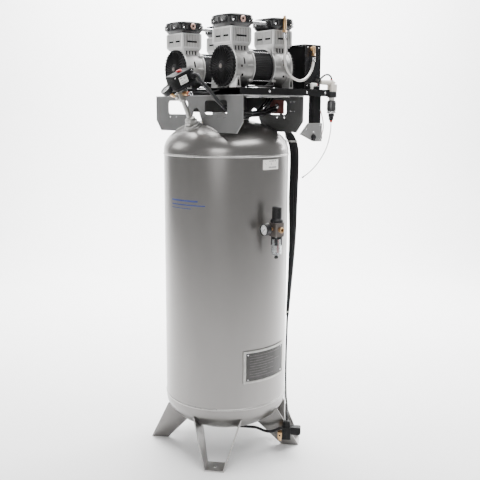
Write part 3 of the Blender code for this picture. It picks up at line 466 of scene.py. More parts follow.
def build_tank():
    count = 160
    shell = Form()
    levels = [SEAM_LOW + (SEAM_HIGH - SEAM_LOW) * k / 12 for k in range(13)]
    outer = [(TANK_R, z) for z in levels]
    shell.lathe([(TANK_R - TANK_WALL, SEAM_LOW)] + outer + [(TANK_R - TANK_WALL, SEAM_HIGH)], count)
    shell.make("shell", [SILVER], stands_for=["tank_shell"], slot="silver_paint")
    for name, seam, sign in (("top_head", SEAM_HIGH, 1), ("bottom_head", SEAM_LOW, -1)):
        out = [(r, FLANGE + h) for r, h in ellipse(TANK_R, DEPTH, 28)]
        inn = [(r, FLANGE + h) for r, h in ellipse(TANK_R - TANK_WALL, DEPTH - TANK_WALL, 16)]
        profile = out + [(TANK_R, 0.0003), (TANK_R - TANK_WALL, 0.0003)] + inn[::-1]
        head = Form().lathe([(r, seam + sign * h) for r, h in profile], count)
        head.make(name, [SILVER], stands_for=["tank_" + name], slot="silver_paint")
        # weld bead with its ripples
        bead = Form()
        rings = []
        for k in range(360):
            a = 2 * pi * k / 360
            swell = 0.00035 * sin(k * 2 * pi / 3.0) + 0.0002 * sin(k * 0.7)
            ring = []
            for j in range(9):
                b = pi * j / 8
                r = TANK_R - 0.0006 + (0.0028 + swell) * sin(b)
                ring.append((r * cos(a), r * sin(a), seam - sign * 0.0006 + 0.0044 * cos(b)))
            rings.append(ring)
        bead.rings(rings, closed=True)
        bead.make(name + "_weld", [WELD], slot="silver_paint")


def curved_patch(form, a0, a1, z0, z1, r0, r1, m=0, steps=None):
    """A patch of thickness r1 - r0 bent round the tank; angles in degrees."""
    steps = steps or max(2, ceil(abs(a1 - a0) / 1.5))
    rings = []
    for k in range(steps + 1):
        a = radians(a0 + (a1 - a0) * k / steps)
        rings.append([(r * cos(a), r * sin(a), z) for r, z in ((r0, z0), (r1, z0), (r1, z1), (r0, z1))])
    form.rings(rings, m)


def build_labels():
    r = TANK_R
    label = Form()
    curved_patch(label, -3.0, 16.0, 1.19, 1.228, r + 0.0002, r + 0.0007, 0)
    for a0, a1, z0, z1 in ((4, 12.5, 1.2215, 1.224), (-1, 14, 1.2135, 1.215), (0, 13, 1.209, 1.2103),
                           (3.5, 13.5, 1.196, 1.2015)):
        steps = 12 if z1 - z0 > 0.004 else 1
        for k in range(steps):
            left = a0 + (a1 - a0) * k / steps
            right = left + (a1 - a0) / steps * (0.55 if steps > 1 else 1.0)
            curved_patch(label, left, right, z0, z1, r + 0.0007, r + 0.00085, 1, 2)
    label.make("tank_label", [PAPER, INK], slot="white_plastic")
    stripes = Form()
    for a0, a1, z0, z1 in ((-93, -62, 1.066, 1.072), (-93, -55, 1.051, 1.055), (-93, -69, 1.038, 1.0405)):
        curved_patch(stripes, a0, a1, z0, z1, r + 0.0002, r + 0.0005, 0)
    stripes.make("tank_stripes", [BLUE], slot="silver_paint")


def build_data_plate():
    cad("data_plate", DULL_STEEL, 0.0006)
    face = Form()
    curved_patch(face, -18.2, 26.2, 0.3505, 0.4645, TANK_R + 0.0037, TANK_R + 0.0045, 0)
    for k in range(9):
        z = 0.452 - 0.0108 * k
        ends = (-15, 22) if k in (0, 3) else (-15, 4) if k % 2 else (-15, 12)
        curved_patch(face, ends[0], ends[1], z, z + 0.002, TANK_R + 0.0045, TANK_R + 0.0049, 1)
    for a, z in ((-16.6, 0.356), (24.6, 0.356), (-16.6, 0.459), (24.6, 0.459)):
        out = Vector((cos(radians(a)), sin(radians(a)), 0))
        at = out * (TANK_R + 0.0044) + Vector((0, 0, z))
        face.turned([(0.003, 0.0), (0.0026, 0.0012), (0.0012, 0.0018), (0.0, 0.002)], 16, along(out, at),
                    2)
    face.make("plate_face", [DARK_PLATE, PLATE_LINE, STEEL], slot="plate_steel")


def build_legs():
    welds = Form()
    for name, angle in (("front_right", -45), ("front_left", -135), ("rear_left", 135), ("rear_right", 45)):
        cad("leg_" + name, SILVER, 0.0008)
        turn = Matrix.Rotation(radians(angle), 4, "Z")
        # fillet weld where each arm meets the lower head
        for side in (-1, 1):
            points = []
            for k in range(15):
                r = 0.1 + 0.135 * k / 14
                h = DEPTH * sqrt(max(1 - (r * r + 0.09 ** 2) / TANK_R ** 2, 0.0))
                z = SEAM_LOW - FLANGE - h
                t = side * (0.04 + (0.1 - 0.04) * min(z, 0.185) / 0.185 + 0.0005)
                h = DEPTH * sqrt(max(1 - (r * r + t * t) / TANK_R ** 2, 0.0))
                points.append(turn @ Vector((r, t, SEAM_LOW - FLANGE - h - 0.0008)))
            points = [p for p in points if p.z < 0.186]
            if len(points) > 3:
                welds.tube(points, 0.0026, 8)
    welds.make("leg_welds", [WELD], slot="silver_paint")


# ---- deck ----------------------------------------------------------------------------------------
def build_deck():
    for node in ("deck_top", "deck_front_plate", "deck_rear_plate"):
        cad(node, DECK, 0.0007)
    welds = Form()
    for y in (-0.1488, 0.1488):
        for side in (-1, 1):
            points = []
            for k in range(17):
                x = side * (0.075 + 0.12 * k / 16)
                if x * x + y * y < TANK_R ** 2 - 0.002:
                    z = dome_z(x, y)
                    if z > 1.33:
                        points.append((x, y, z + 0.001))
            if len(points) > 3:
                welds.tube(points, 0.0026, 8)
    welds.make("deck_welds", [WELD], slot="grey_paint")
    bolts = Form()
    bolts.bolt((0.148, 0.1438, 1.43), (0, -1, 0), 0.0085, 0.007)
    for x, z in ((0.229, 1.448), (0.229, 1.412), (0.249, 1.448), (0.249, 1.412)):
        bolts.screw((x, 0.145, z), (0, -1, 0), 0.0032, 0.002)
        bolts.screw((-x, 0.145, z), (0, -1, 0), 0.0032, 0.002)
    for x in (LEFT_X, RIGHT_X):
        for dx in (-0.085, 0.085):
            for y in (-0.115, 0.115):
                bolts.bolt((x + dx, y, DECK_Z - 0.003), (0, 0, -1), 0.0055, 0.005)
    bolts.make("deck_bolts", [STEEL], slot="bright_steel")


def build_painted_reflection():
    """Painted reflection: a reddish-brown patch behind the window of the rear plate, on thin pads."""
    pads = Form()
    pads.prism(rounded(0.102, 1.402, 0.188, 1.456, 0.004, 4), -0.1462, -0.144, UPRIGHT)
    pads.prism(rounded(0.061, 1.396, 0.106, 1.456, 0.003, 4), -0.148, -0.1464, UPRIGHT, 1)
    pads.make("painted_reflection_pads", [PAINTED_REFLECTION, DECK], slot="black_plastic")


def build_bases():
    cad("pump_base_left", BLACK, 0.0007)
    cad("pump_base_right", BLACK, 0.0007)
    bolts = Form()
    for y in (0.01, 0.2, 0.3):
        bolts.bolt((RIGHT_X + 0.093, y, 1.4845), (1, 0, 0), 0.0032, 0.003)
    for y in (-0.075, 0.092):
        bolts.bolt((LEFT_X - 0.093, y, 1.4845), (-1, 0, 0), 0.0032, 0.003)
    bolts.make("base_bolts", [STEEL], slot="bright_steel")


# ---- pumps ---------------------------------------------------------------------------------------
def build_drum(label, x, end):
    """Open drum round a pump's shaft."""
    profile = [(0.06, 0.0468), (0.0775, 0.0468), (0.0775, 0.0505), (0.0735, 0.053), (0.0735, 0.129),
               (0.0752, 0.1318), (0.0775, 0.1332), (0.0775, 0.1368), (0.0768, 0.1375), (0.0742, 0.1375),
               (0.0705, 0.13), (0.0705, 0.056), (0.06, 0.056)]
    drum = Form().lathe([(r, end * y) for r, y in profile], 96, along_y(x, SHAFT_Z))
    case = drum.make("case_" + label, [CAST], stands_for=["crankcase_" + label], slot="cast_aluminium")
    # holes in the drum's sides, their walls near-black as painted shade
    cut = Form()
    for side in (-1, 1):
        wall = x + side * 0.0735
        cut.prism(rounded(-0.0034, -0.0125, 0.0034, 0.0125, 0.003, 3), -0.012, 0.014,
                  shift(wall, end * 0.095, SHAFT_Z + 0.018) @ FACE_X @ QUARTER)
        for y, z in ((0.1085, -0.001), (0.1005, -0.033)):
            cut.rod(0.005, -0.02, 0.012, 16, shift(wall, end * y, SHAFT_Z + z) @ FACE_X)
    carve(case, cut, PAINTED_SHADE)


def build_neck(label, x, end):
    """Neck between drum and cylinder with its flange, the piston's passage and vents."""
    neck = Form()
    low, high = SHAFT_Z + 0.048, BLOCK_LOW
    for near, far, levels in ((0.056, 0.1372, ((low, 0.052), (high - 0.006, 0.05))),
                              (0.054, 0.1425, ((high - 0.0058, 0.056), (high, 0.056)))):
        y0, y1 = span(end, near, far)
        neck.rings([[(x + px, py, z) for px, py in rounded(-half, y0, half, y1, 0.006, 4)] for z,
                    half in levels])
    neck = neck.make("neck_" + label, [CAST], slot="cast_aluminium")
    y0, y1 = span(end, 0.076, 0.124)
    carve(neck, Form().prism(rounded(x - 0.03, y0, x + 0.03, y1, 0.008, 4), low - 0.01, high + 0.01))
    vents = Form()
    for side in (-1, 1):
        for y in (0.1205, 0.1065, 0.0925, 0.0785):
            vents.prism(rounded(-0.0085, -0.0029, 0.0085, 0.0029, 0.0026, 3), -0.014, 0.014,
                        shift(x + side * 0.0505, end * y, 1.64) @ FACE_X)
    # the vents' walls are near-black as painted shade
    carve(neck, vents, PAINTED_SHADE)


def build_case_ribs(label, x, end):
    """A rib and the bosses of the through bolts on each side."""
    ribs = Form()
    for side in (-1, 1):
        y0, y1 = span(end, 0.049, 0.08)
        rib_x = x + side * 0.0705
        ribs.block((rib_x - 0.004, y0, SHAFT_Z - 0.0005), (rib_x + 0.0048, y1, SHAFT_Z + 0.004))
        for up in (-1, 1):
            y0, y1 = span(end, 0.047, 0.064)
            ribs.turned([(0.0072, y0), (0.0072, y1), (0.006, y1 + 0.0008)], 20,
                        along_y(x + side * 0.055, SHAFT_Z + up * 0.052))
    ribs.make("case_ribs_" + label, [CAST], bevel=0.0006, slot="cast_aluminium")


def build_feet(label, x, end):
    """Two feet, each with a pocket and a bolt."""
    feet = Form()
    hollow = Form()
    bolts = Form()
    foot = [(0.118, 0.0003), (0.1385, 0.0003), (0.1385, 0.006), (0.134, 0.042), (0.1225, 0.042),
            (0.118, 0.006)]
    pocket = [(0.1225, 0.006), (0.134, 0.006), (0.131, 0.028), (0.1255, 0.028)]
    for side in (-1, 1):
        for form, outline, near, far in ((feet, foot, 0.038, 0.079), (hollow, pocket, 0.056, 0.085)):
            x0, x1 = sorted((x + side * near, x + side * far))
            form.prism([(end * py, BASE_TOP + pz) for py, pz in outline], x0, x1, SIDEWAYS)
        bolts.bolt((x + side * 0.07, end * 0.1285, BASE_TOP + 0.0062), (0, 0, 1), 0.0042, 0.004)
        bolts.screw((x + side * 0.0505, end * 0.099, 1.621), (side, 0, 0), 0.0026, 0.002)
    # the pockets' walls are near-black as painted shade
    carve(feet.make("case_feet_" + label, [CAST], slot="cast_aluminium"), hollow, PAINTED_SHADE)
    bolts.make("case_bolts_" + label, [STEEL], slot="bright_steel")


def build_fan(label, side_name, x, end):
    """Cooling fan: a toothed rim, curved vanes and a low hub."""
    place = along_y(x, SHAFT_Z)
    form = Form()
    rim = toothed(34, ((0.0757, 0.05), (0.0757, 0.5), (0.0722, 0.62), (0.0722, 0.93)))
    form.prism(rim, *span(end, 0.1384, 0.1455), place)
    ring = [(0.067, 0.145), (0.0715, 0.145), (0.0715, 0.1478), (0.07, 0.1492), (0.0685, 0.1492),
            (0.067, 0.1478)]
    form.lathe([(r, end * y) for r, y in ring], 96, place)
    vanes = 34
    for k in range(vanes):
        bend = [polar(0.02 + 0.055 * j / 6, 0.2 * (j / 6) ** 2) for j in range(7)]
        outline = [(px, py - 0.0008) for px, py in bend] + [(px, py + 0.0008) for px, py in bend[::-1]]
        form.prism(outline, *span(end, 0.145, 0.15), place @ Matrix.Rotation(2 * pi * k / vanes, 4, "Z"))
    hub = [(0.0, 0.145), (0.02, 0.145), (0.0195, 0.1492), (0.015, 0.1508), (0.0085, 0.151),
           (0.0075, 0.149), (0.0, 0.1488)]
    form.lathe([(r, end * y) for r, y in hub], 40, place)
    form.make("fan_wheel_" + label, [BLACK], body="rotor_" + side_name, stands_for=["fan_" + label],
              slot="black_plastic")
    nut = Form()
    nut.bolt((x, end * 0.1488, SHAFT_Z), (0, end, 0), 0.0036, 0.0018, washer=False)
    nut.make("fan_nut_" + label, [GLOSS_BLACK], body="rotor_" + side_name, slot="black_plastic")


def corrugated(half_x, half_y, pitch, depth):
    """A rectangle whose sides carry small square ribs, plain near the corners."""
    def side(length):
        flat = 0.0085
        run = 2 * (length - flat)
        count = max(1, int(run / pitch))
        step = run / count
        row = [(-length, 0.0), (-length + flat, 0.0)]
        for k in range(count):
            a = -length + flat + step * k
            row += [(a + step * 0.12, depth), (a + step * 0.48, depth), (a + step * 0.6, 0.0),
                    (a + step, 0.0)]
        row[-1] = (length - flat, 0.0)
        return row
    points = []
    for (along_x, length, off, sx) in ((True, half_x, half_y, 1), (False, half_y, half_x, 1),
                                       (True, half_x, half_y, -1), (False, half_y, half_x, -1)):
        for s, d in side(length):
            if along_x:
                points.append((-s, off - d) if sx == 1 else (s, -off + d))
            else:
                points.append((-off + d, -s) if sx == 1 else (off - d, s))
    return points


def bore(place):
    """What is cut out of a block for its piston."""
    return Form().rod(BORE_R, BLOCK_LOW - 0.01, BLOCK_HIGH + 0.01, 64, place)


def build_block(label, x, end):
    y = end * BORE_Y
    form = Form()
    place = shift(x, y)
    body = corrugated(0.0594, 0.0464, 0.0072, 0.0024)
    form.prism(body, BLOCK_LOW + 0.0062, BLOCK_HIGH - 0.004, place)
    obj = form.make("block_" + label, [CAST], stands_for=["cylinder_" + label], slot="cast_aluminium")
    carve(obj, bore(place))
    cut = Form()
    slot_z = 1.684
    for face in (-1, 1):
        for mid in (-0.024, 0.024):
            spot = shift(x + mid, y + face * 0.047, slot_z) @ UPRIGHT
            cut.prism(rounded(-0.0165, -0.0033, 0.0165, 0.0033, 0.003, 3), -0.012, 0.012, spot)
        spot = shift(x + face * 0.06, y, slot_z) @ QUARTER @ UPRIGHT
        cut.prism(rounded(-0.0245, -0.0033, 0.0245, 0.0033, 0.003, 3), -0.012, 0.012, spot)
    # the slots' walls are near-black as painted shade
    carve(obj, cut, PAINTED_SHADE)
    rim = Form()
    for low, high in ((BLOCK_LOW + 0.0002, BLOCK_LOW + 0.0066), (BLOCK_HIGH - 0.0046, BLOCK_HIGH)):
        rim.prism(rounded(-0.06, -0.047, 0.06, 0.047, 0.006, 4), low, high, place)
    carve(rim.make("block_rims_" + label, [CAST], slot="cast_aluminium"), bore(place))


def head_rim(a, scale=1.0):
    """Point on the outline of a head, at parameter a."""
    power = 2 / 3.5
    px = 0.074 * abs(cos(a)) ** power * (1 if cos(a) >= 0 else -1)
    py = 0.06 * abs(sin(a)) ** power * (1 if sin(a) >= 0 else -1)
    return px * scale, py * scale


def build_head(label, x, end):
    """Black head: a wide lid over a narrower base, with ribs, screws and a copper port ring."""
    y = end * BORE_Y
    place = shift(x, y)
    form = Form()
    outline = [head_rim(2 * pi * k / 120) for k in range(120)]
    levels = ((0.84, HEAD_LOW), (0.86, 1.7185), (0.93, 1.7235), (0.98, 1.7295), (0.996, 1.737),
              (0.996, 1.748), (0.975, 1.7495), (0.975, 1.751), (0.99, 1.7522), (0.98, 1.7565),
              (0.945, 1.7592), (0.89, 1.76), (0.85, 1.7588), (0.82, 1.7555), (0.5, 1.755))
    form.rings([[(px * s, py * s, z) for px, py in outline] for s, z in levels], 0, place)
    for k in range(-4, 5):
        lx = 0.011 * k
        reach = 0.044 - 0.0016 * k * k
        form.prism(rounded(lx - 0.0016, -reach, lx + 0.0016, reach, 0.0015, 3), 1.7545, 1.7605, place)
    form.turned([(0.016, 1.7545), (0.016, 1.7625), (0.014, 1.764), (0.0, 1.7645)], 40, place)
    for k in range(10):
        px, py = head_rim(2 * pi * (k + 0.5) / 10, 0.955)
        form.lathe([(0.0, 1.728), (0.006, 1.73), (0.0062, 1.748), (0.0, 1.748)], 20, place @ shift(px, py))
    form.make("cover_" + label, [GLOSS_BLACK], stands_for=["head_" + label], slot="black_paint")
    screws = Form()
    for angle in (-105, -84.5, -34.5, 14.5, 50, 84, 107, 145, 180, 215):
        a = radians(angle)
        px, py = head_rim(a, 0.99)
        out = Vector((px / 0.074 ** 2, py / 0.06 ** 2, 0.0)).normalized()
        screws.screw((x + px, y + py, 1.7365), out, 0.003, 0.002)
    for sx in (-0.04, 0.04):
        for sy in (-0.033, 0.033):
            screws.screw((x + sx, y + sy, 1.7552), (0, 0, 1), 0.004, 0.004)
    screws.make("cover_screws_" + label, [STEEL], slot="bright_steel")
    if end < 0:
        port = Form()
        out = along((1, 0, 0), (x + 0.0708, y - 0.005, 1.7415))
        port.lathe([(0.005, 0.0), (0.0112, 0.0), (0.0112, 0.0048), (0.01, 0.0058), (0.006, 0.0058),
                    (0.005, 0.0046)], 36, out)
        # near-black disc inside the port ring: painted shade of its bore
        port.rod(0.0052, 0.0022, 0.0026, 24, out, 1)
        port.make("port_" + label, [COPPER, PAINTED_SHADE], slot="brass")


def build_stator(side_name, x):
    place = along_y(x, SHAFT_Z)
    form = Form()
    # laminated core with shallow fins, between two end rings
    fins = toothed(60, ((0.0672, 0.0), (0.0672, 0.5), (0.066, 0.6), (0.066, 0.9)))
    form.prism(fins, -0.042, 0.042, place)
    for a, b in ((-0.0462, -0.0418), (0.0418, 0.0462)):
        form.sleeve(0.05, 0.069, a, b, 72, place)
    form.make("stator_body_" + side_name, [BLACK], bevel=0.0003, stands_for=["stator_" + side_name],
              slot="black_paint")
    rods = Form()
    for sx in (-0.055, 0.055):
        for sz in (-0.052, 0.052):
            rods.rod(0.0022, -0.064, 0.064, 14, along_y(x + sx, SHAFT_Z + sz))
            for end in (-1, 1):
                rods.bolt((x + sx, end * 0.0648, SHAFT_Z + sz), (0, end, 0), 0.004, 0.0035, washer=False)
    rods.make("tie_rods_" + side_name, [STEEL], slot="bright_steel")


def build_pump(side_name, x):
    for end_name, end in (("front", -1), ("rear", 1)):
        label = side_name + "_" + end_name
        build_drum(label, x, end)
        build_neck(label, x, end)
        build_case_ribs(label, x, end)
        build_feet(label, x, end)
        build_fan(label, side_name, x, end)
        build_block(label, x, end)
        build_head(label, x, end)
        cad("piston_" + label, CAST)
    build_stator(side_name, x)
    cad("shaft_" + side_name, PEWTER)
    cad("balance_tube_" + side_name, STEEL)
    lead = Form()
    route = [(x + 0.058, 0.052, SHAFT_Z - 0.06), (x + 0.072, 0.046, SHAFT_Z - 0.066),
             (x + 0.083, 0.02, SHAFT_Z - 0.072), (x + 0.083, -0.02, SHAFT_Z - 0.073),
             (x + 0.07, -0.045, SHAFT_Z - 0.0735), (x + 0.03, -0.05, SHAFT_Z - 0.0735)]
    lead.tube(smooth_route(route, 40), 0.003, 10)
    lead.make("motor_lead_" + side_name, [RUBBER], slot="cable_rubber")


# ---- aftercooler, hose and filter ----------------------------------------------------------------
COOL_X0, COOL_X1, COOL_Y0, COOL_Y1, COOL_Z0, COOL_Z1 = 0.05, 0.233, 0.213, 0.298, 1.498, 1.672
FAN_X = (COOL_X0 + COOL_X1) / 2
FAN_Z = (COOL_Z0 + COOL_Z1) / 2
AXLE = along_y(FAN_X, FAN_Z)


def build_shroud():
    """Housing of the aftercooler, with a plate at its back that has a round opening for the fan."""
    wall = 0.0022
    shroud = Form()
    outer = rounded(COOL_X0, COOL_Z0, COOL_X1, COOL_Z1, 0.004, 4)
    inner = rounded(COOL_X0 + wall, COOL_Z0 + wall, COOL_X1 - wall, COOL_Z1 - wall, 0.003, 4)
    shroud.rings([[(x, COOL_Y0, z) for x, z in outer], [(x, COOL_Y1, z) for x, z in outer],
                  [(x, COOL_Y1, z) for x, z in inner], [(x, COOL_Y0, z) for x, z in inner]], closed=True)
    shroud.make("cooler_shroud", [GLOSS_BLACK], bevel=0.0006, stands_for=["aftercooler"],
                slot="black_paint")
    plate = Form()
    plate.block((COOL_X0 + 0.003, COOL_Y1 - 0.006, COOL_Z0 + 0.003),
                (COOL_X1 - 0.003, COOL_Y1 - 0.004, COOL_Z1 - 0.003))
    panel = plate.make("cooler_fan_plate", [BLACK], slot="black_paint")
    cut = Form()
    cut.rod(0.068, COOL_Y1 - 0.02, COOL_Y1 + 0.02, 64, AXLE)
    carve(panel, cut)


def build_coil():
    """Tubes and fins across the front."""
    coil = Form()
    for k in range(44):
        x = COOL_X0 + 0.006 + k * (COOL_X1 - COOL_X0 - 0.012) / 43
        coil.block((x - 0.00035, COOL_Y0 + 0.004, COOL_Z0 + 0.006),
                   (x + 0.00035, COOL_Y0 + 0.04, COOL_Z1 - 0.006))
    for k in range(7):
        z = COOL_Z0 + 0.018 + 0.0228 * k
        coil.rod(0.0048, COOL_X0 + 0.003, COOL_X1 - 0.003, 16, along((1, 0, 0), (0, COOL_Y0 + 0.022, z)))
    coil.make("cooler_coil", [BLACK], slot="black_paint")


def build_cooler_fan():
    """Wire guard, motor on three arms, and the wheel."""
    guard = Form()
    for r in (0.016, 0.029, 0.042, 0.055, 0.0672):
        guard.hoop(r, 0.001, shift(FAN_X, COOL_Y1 - 0.0012, FAN_Z) @ EDGEWISE)
    for k in range(4):
        a = pi / 4 + pi / 2 * k
        guard.tube([(FAN_X + r * cos(a), COOL_Y1 - 0.003, FAN_Z + r * sin(a))
                    for r in (0.012, 0.04, 0.074)], 0.0011, 8)
    guard.make("fan_guard", [STEEL], slot="bright_steel")
    motor = Form()
    motor.rod(0.024, COOL_Y0 + 0.042, COOL_Y1 - 0.0225, 32, AXLE)
    for k in range(3):
        a = pi / 2 + 2 * pi * k / 3
        motor.tube([(FAN_X + r * cos(a), COOL_Y1 - 0.03, FAN_Z + r * sin(a))
                    for r in (0.02, 0.05, 0.078)], 0.003, 8)
    motor.make("cooler_motor", [PLASTIC], slot="black_plastic")
    wheel = Form()
    wheel.turned([(0.018, COOL_Y1 - 0.018), (0.018, COOL_Y1 - 0.006), (0.016, COOL_Y1 - 0.0042),
                  (0.0, COOL_Y1 - 0.004)], 32, AXLE)
    for k in range(7):
        spin = shift(FAN_X, COOL_Y1 - 0.011, FAN_Z) @ Matrix.Rotation(2 * pi * k / 7, 4, "Y")
        rings = []
        for j in range(8):
            share = j / 7
            r = 0.016 + 0.048 * share
            half = 0.01 + 0.005 * share
            tilt = radians(30 - 14 * share)
            ring = []
            for s, t in ((-1, -0.0006), (0, 0.0006), (1, -0.0006), (1, 0.0006), (0, 0.0024), (-1, 0.0006)):
                ring.append((r, s * half * sin(tilt) + t, s * half * cos(tilt)))
            rings.append([spin @ Vector(p) for p in ring])
        wheel.rings(rings)
    wheel.make("cooler_wheel", [PLASTIC], body="cooler_rotor", stands_for=["aftercooler_fan"],
               slot="black_plastic")


def build_cooler_fittings():
    fit = Form()
    for y in (0.226, 0.255, 0.284):
        for z in (1.512, 1.66):
            if not (y == 0.255 and z == 1.66):
                fit.screw((COOL_X1, y, z), (1, 0, 0), 0.0028, 0.0016)
    fit.make("cooler_screws", [STEEL], slot="bright_steel")
    elbow = Form()
    foot = shift(0.245, 0.246)
    elbow.turned([(0.0062, 1.639), (0.0066, 1.66), (0.005, 1.664), (0.0, 1.665)], 24, foot)
    elbow.hexagon(0.0082, 1.627, 1.6385, foot)
    elbow.turned([(0.0078, -0.013), (0.0078, -0.007), (0.006, -0.006), (0.006, 0.002)], 24,
                 along((1, 0, 0), (0.245, 0.246, 1.6545)))
    elbow.make("inlet_elbow", [BRASS], bevel=0.0004, slot="brass")


def build_aftercooler():
    build_shroud()
    build_coil()
    build_cooler_fan()
    build_cooler_fittings()


HOSE_ROUTE = [(0.243, 0.094, 1.7055), (0.243, 0.094, 1.6955), (0.245, 0.095, 1.67), (0.2495, 0.093, 1.64),
              (0.2535, 0.088, 1.608), (0.2545, 0.095, 1.575), (0.2545, 0.122, 1.543),
              (0.2535, 0.166, 1.529), (0.251, 0.206, 1.541), (0.248, 0.232, 1.57), (0.246, 0.243, 1.598),
              (0.245, 0.246, 1.614), (0.245, 0.246, 1.6235)]


def build_hose():
    route = smooth_route(HOSE_ROUTE, 420)
    hose = Form()

    def weave(k, a):
        return 0.00042 * max(abs(sin(6 * a + k * 0.42)), abs(sin(6 * a - k * 0.42))) - 0.00035

    hose.tube(route[14:-10], 0.0054, 36, shape=weave)
    hose.make("hose_braid", [BRAID], stands_for=["braided_hose"], slot="braid")
    ends = Form()
    ends.tube(route[3:26], 0.0064, 24)
    ends.tube(route[-24:-3], 0.0064, 24)
    for k in (6, 12, 18):
        ends.tube(route[k:k + 3], 0.0068, 24)
        ends.tube(route[-k - 3:-k], 0.0068, 24)
    ends.make("hose_ferrules", [STEEL], slot="bright_steel")
    tee = Form()
    at = shift(0.243, 0.094)
    tee.turned([(0.0066, 1.716), (0.0068, 1.728), (0.0074, 1.731), (0.0074, 1.746), (0.0062, 1.749),
                (0.0062, 1.7535)], 28, at)
    tee.hexagon(0.008, 1.7065, 1.7155, at)
    tee.hexagon(0.00736, 1.753, 1.76, at)
    tee.turned([(0.0052, 1.7595), (0.0052, 1.766), (0.004, 1.7678)], 24, at)
    branch = along((1, 0, 0), (0, 0.094, 1.738))
    tee.rod(0.006, 0.228, 0.231, 24, branch)
    tee.hexagon(0.0076, 0.2295, 0.2345, branch)
    tee.rod(0.0062, 0.234, 0.244, 24, branch)
    tee.make("delivery_tee", [BRASS], bevel=0.0004, slot="brass")


def build_filter():
    x, y = 0.25, 0.3475
    at = shift(x, y)
    head = Form()
    body = [(0.0, 0.284), (0.0075, 0.284), (0.0092, 0.288), (0.0098, 0.3), (0.0098, 0.34), (0.008, 0.346),
            (0.008, 0.352), (0.006, 0.358), (0.003, 0.3665), (0.0, 0.3668)]
    head.lathe(body, 32, along_y(x, 1.5265))
    head.prism(rounded(-0.0145, -0.015, 0.0145, 0.017, 0.004, 4), 1.4905, 1.52, at)
    head.turned([(0.01, 1.5195), (0.0092, 1.536), (0.0, 1.5368)], 28, at @ shift(0, -0.004))
    head.make("filter_block", [BEIGE], bevel=0.0008, stands_for=["filter_head"], slot="white_plastic")
    collar = Form()
    collar.turned([(0.0185, 1.467), (0.0195, 1.47), (0.0195, 1.488), (0.0175, 1.4903)], 40, at)
    collar.studs((0.019, -0.001, 1.4715), (0.0199, 0.001, 1.4865), 20, at)
    collar.make("filter_collar", [PLASTIC], slot="black_plastic")
    bowl = Form()
    bowl.turned([(0.012, 1.456), (0.0118, 1.4668)], 32, at, 3)
    bowl.turned([(0.0168, 1.4105), (0.018, 1.417), (0.0182, 1.448), (0.0165, 1.454), (0.012, 1.4563)], 48,
                at)
    bowl.studs((0.0176, -0.0012, 1.418), (0.0189, 0.0012, 1.447), 12, at)
    bowl.turned([(0.0198, 1.405), (0.02, 1.406), (0.02, 1.408), (0.019, 1.4102)], 48, at, 1)
    bowl.turned([(0.0085, 1.3765), (0.0095, 1.379), (0.01, 1.39), (0.0125, 1.3915), (0.0128, 1.404),
                 (0.0, 1.4048)], 32, at, 2)
    bowl.turned([(0.003, 1.3668), (0.0055, 1.369), (0.006, 1.3764)], 24, at, 4)
    bowl.make("filter_cup", [GREY_BOWL, STEEL, PLASTIC, WHITE, RED], stands_for=["filter_bowl"],
              slot="black_plastic")
    elbow = Form()
    ex, ey = 0.25, 0.236
    bend = along_y(ex, 1.516)
    elbow.turned([(0.006, BASE_TOP + 0.0003), (0.006, 1.506), (0.0072, 1.5065), (0.0072, 1.519),
                  (0.0, 1.5235)], 24, shift(ex, ey))
    elbow.turned([(0.0066, ey - 0.002), (0.0066, 0.258), (0.0058, 0.26)], 24, bend)
    elbow.turned([(0.0052, 0.2601), (0.0052, 0.263), (0.0, 0.2632)], 24, bend, 1)
    elbow.turned([(0.0052, 1.5367), (0.0052, 1.5395), (0.0, 1.5397)], 24, shift(x, y - 0.004), 1)
    elbow.make("push_in_elbow", [WHITE, RED], bevel=0.0004, slot="white_plastic")
    loop = Form()
    route = [(0.25, 0.2625, 1.516), (0.25, 0.269, 1.5185), (0.251, 0.282, 1.539), (0.252, 0.302, 1.5535),
             (0.252, 0.322, 1.557), (0.251, 0.337, 1.551), (0.25, 0.343, 1.544), (0.25, 0.3435, 1.539)]
    loop.tube(smooth_route(route, 48), 0.0036, 14)
    loop.make("filter_jumper", [RUBBER], slot="cable_rubber")


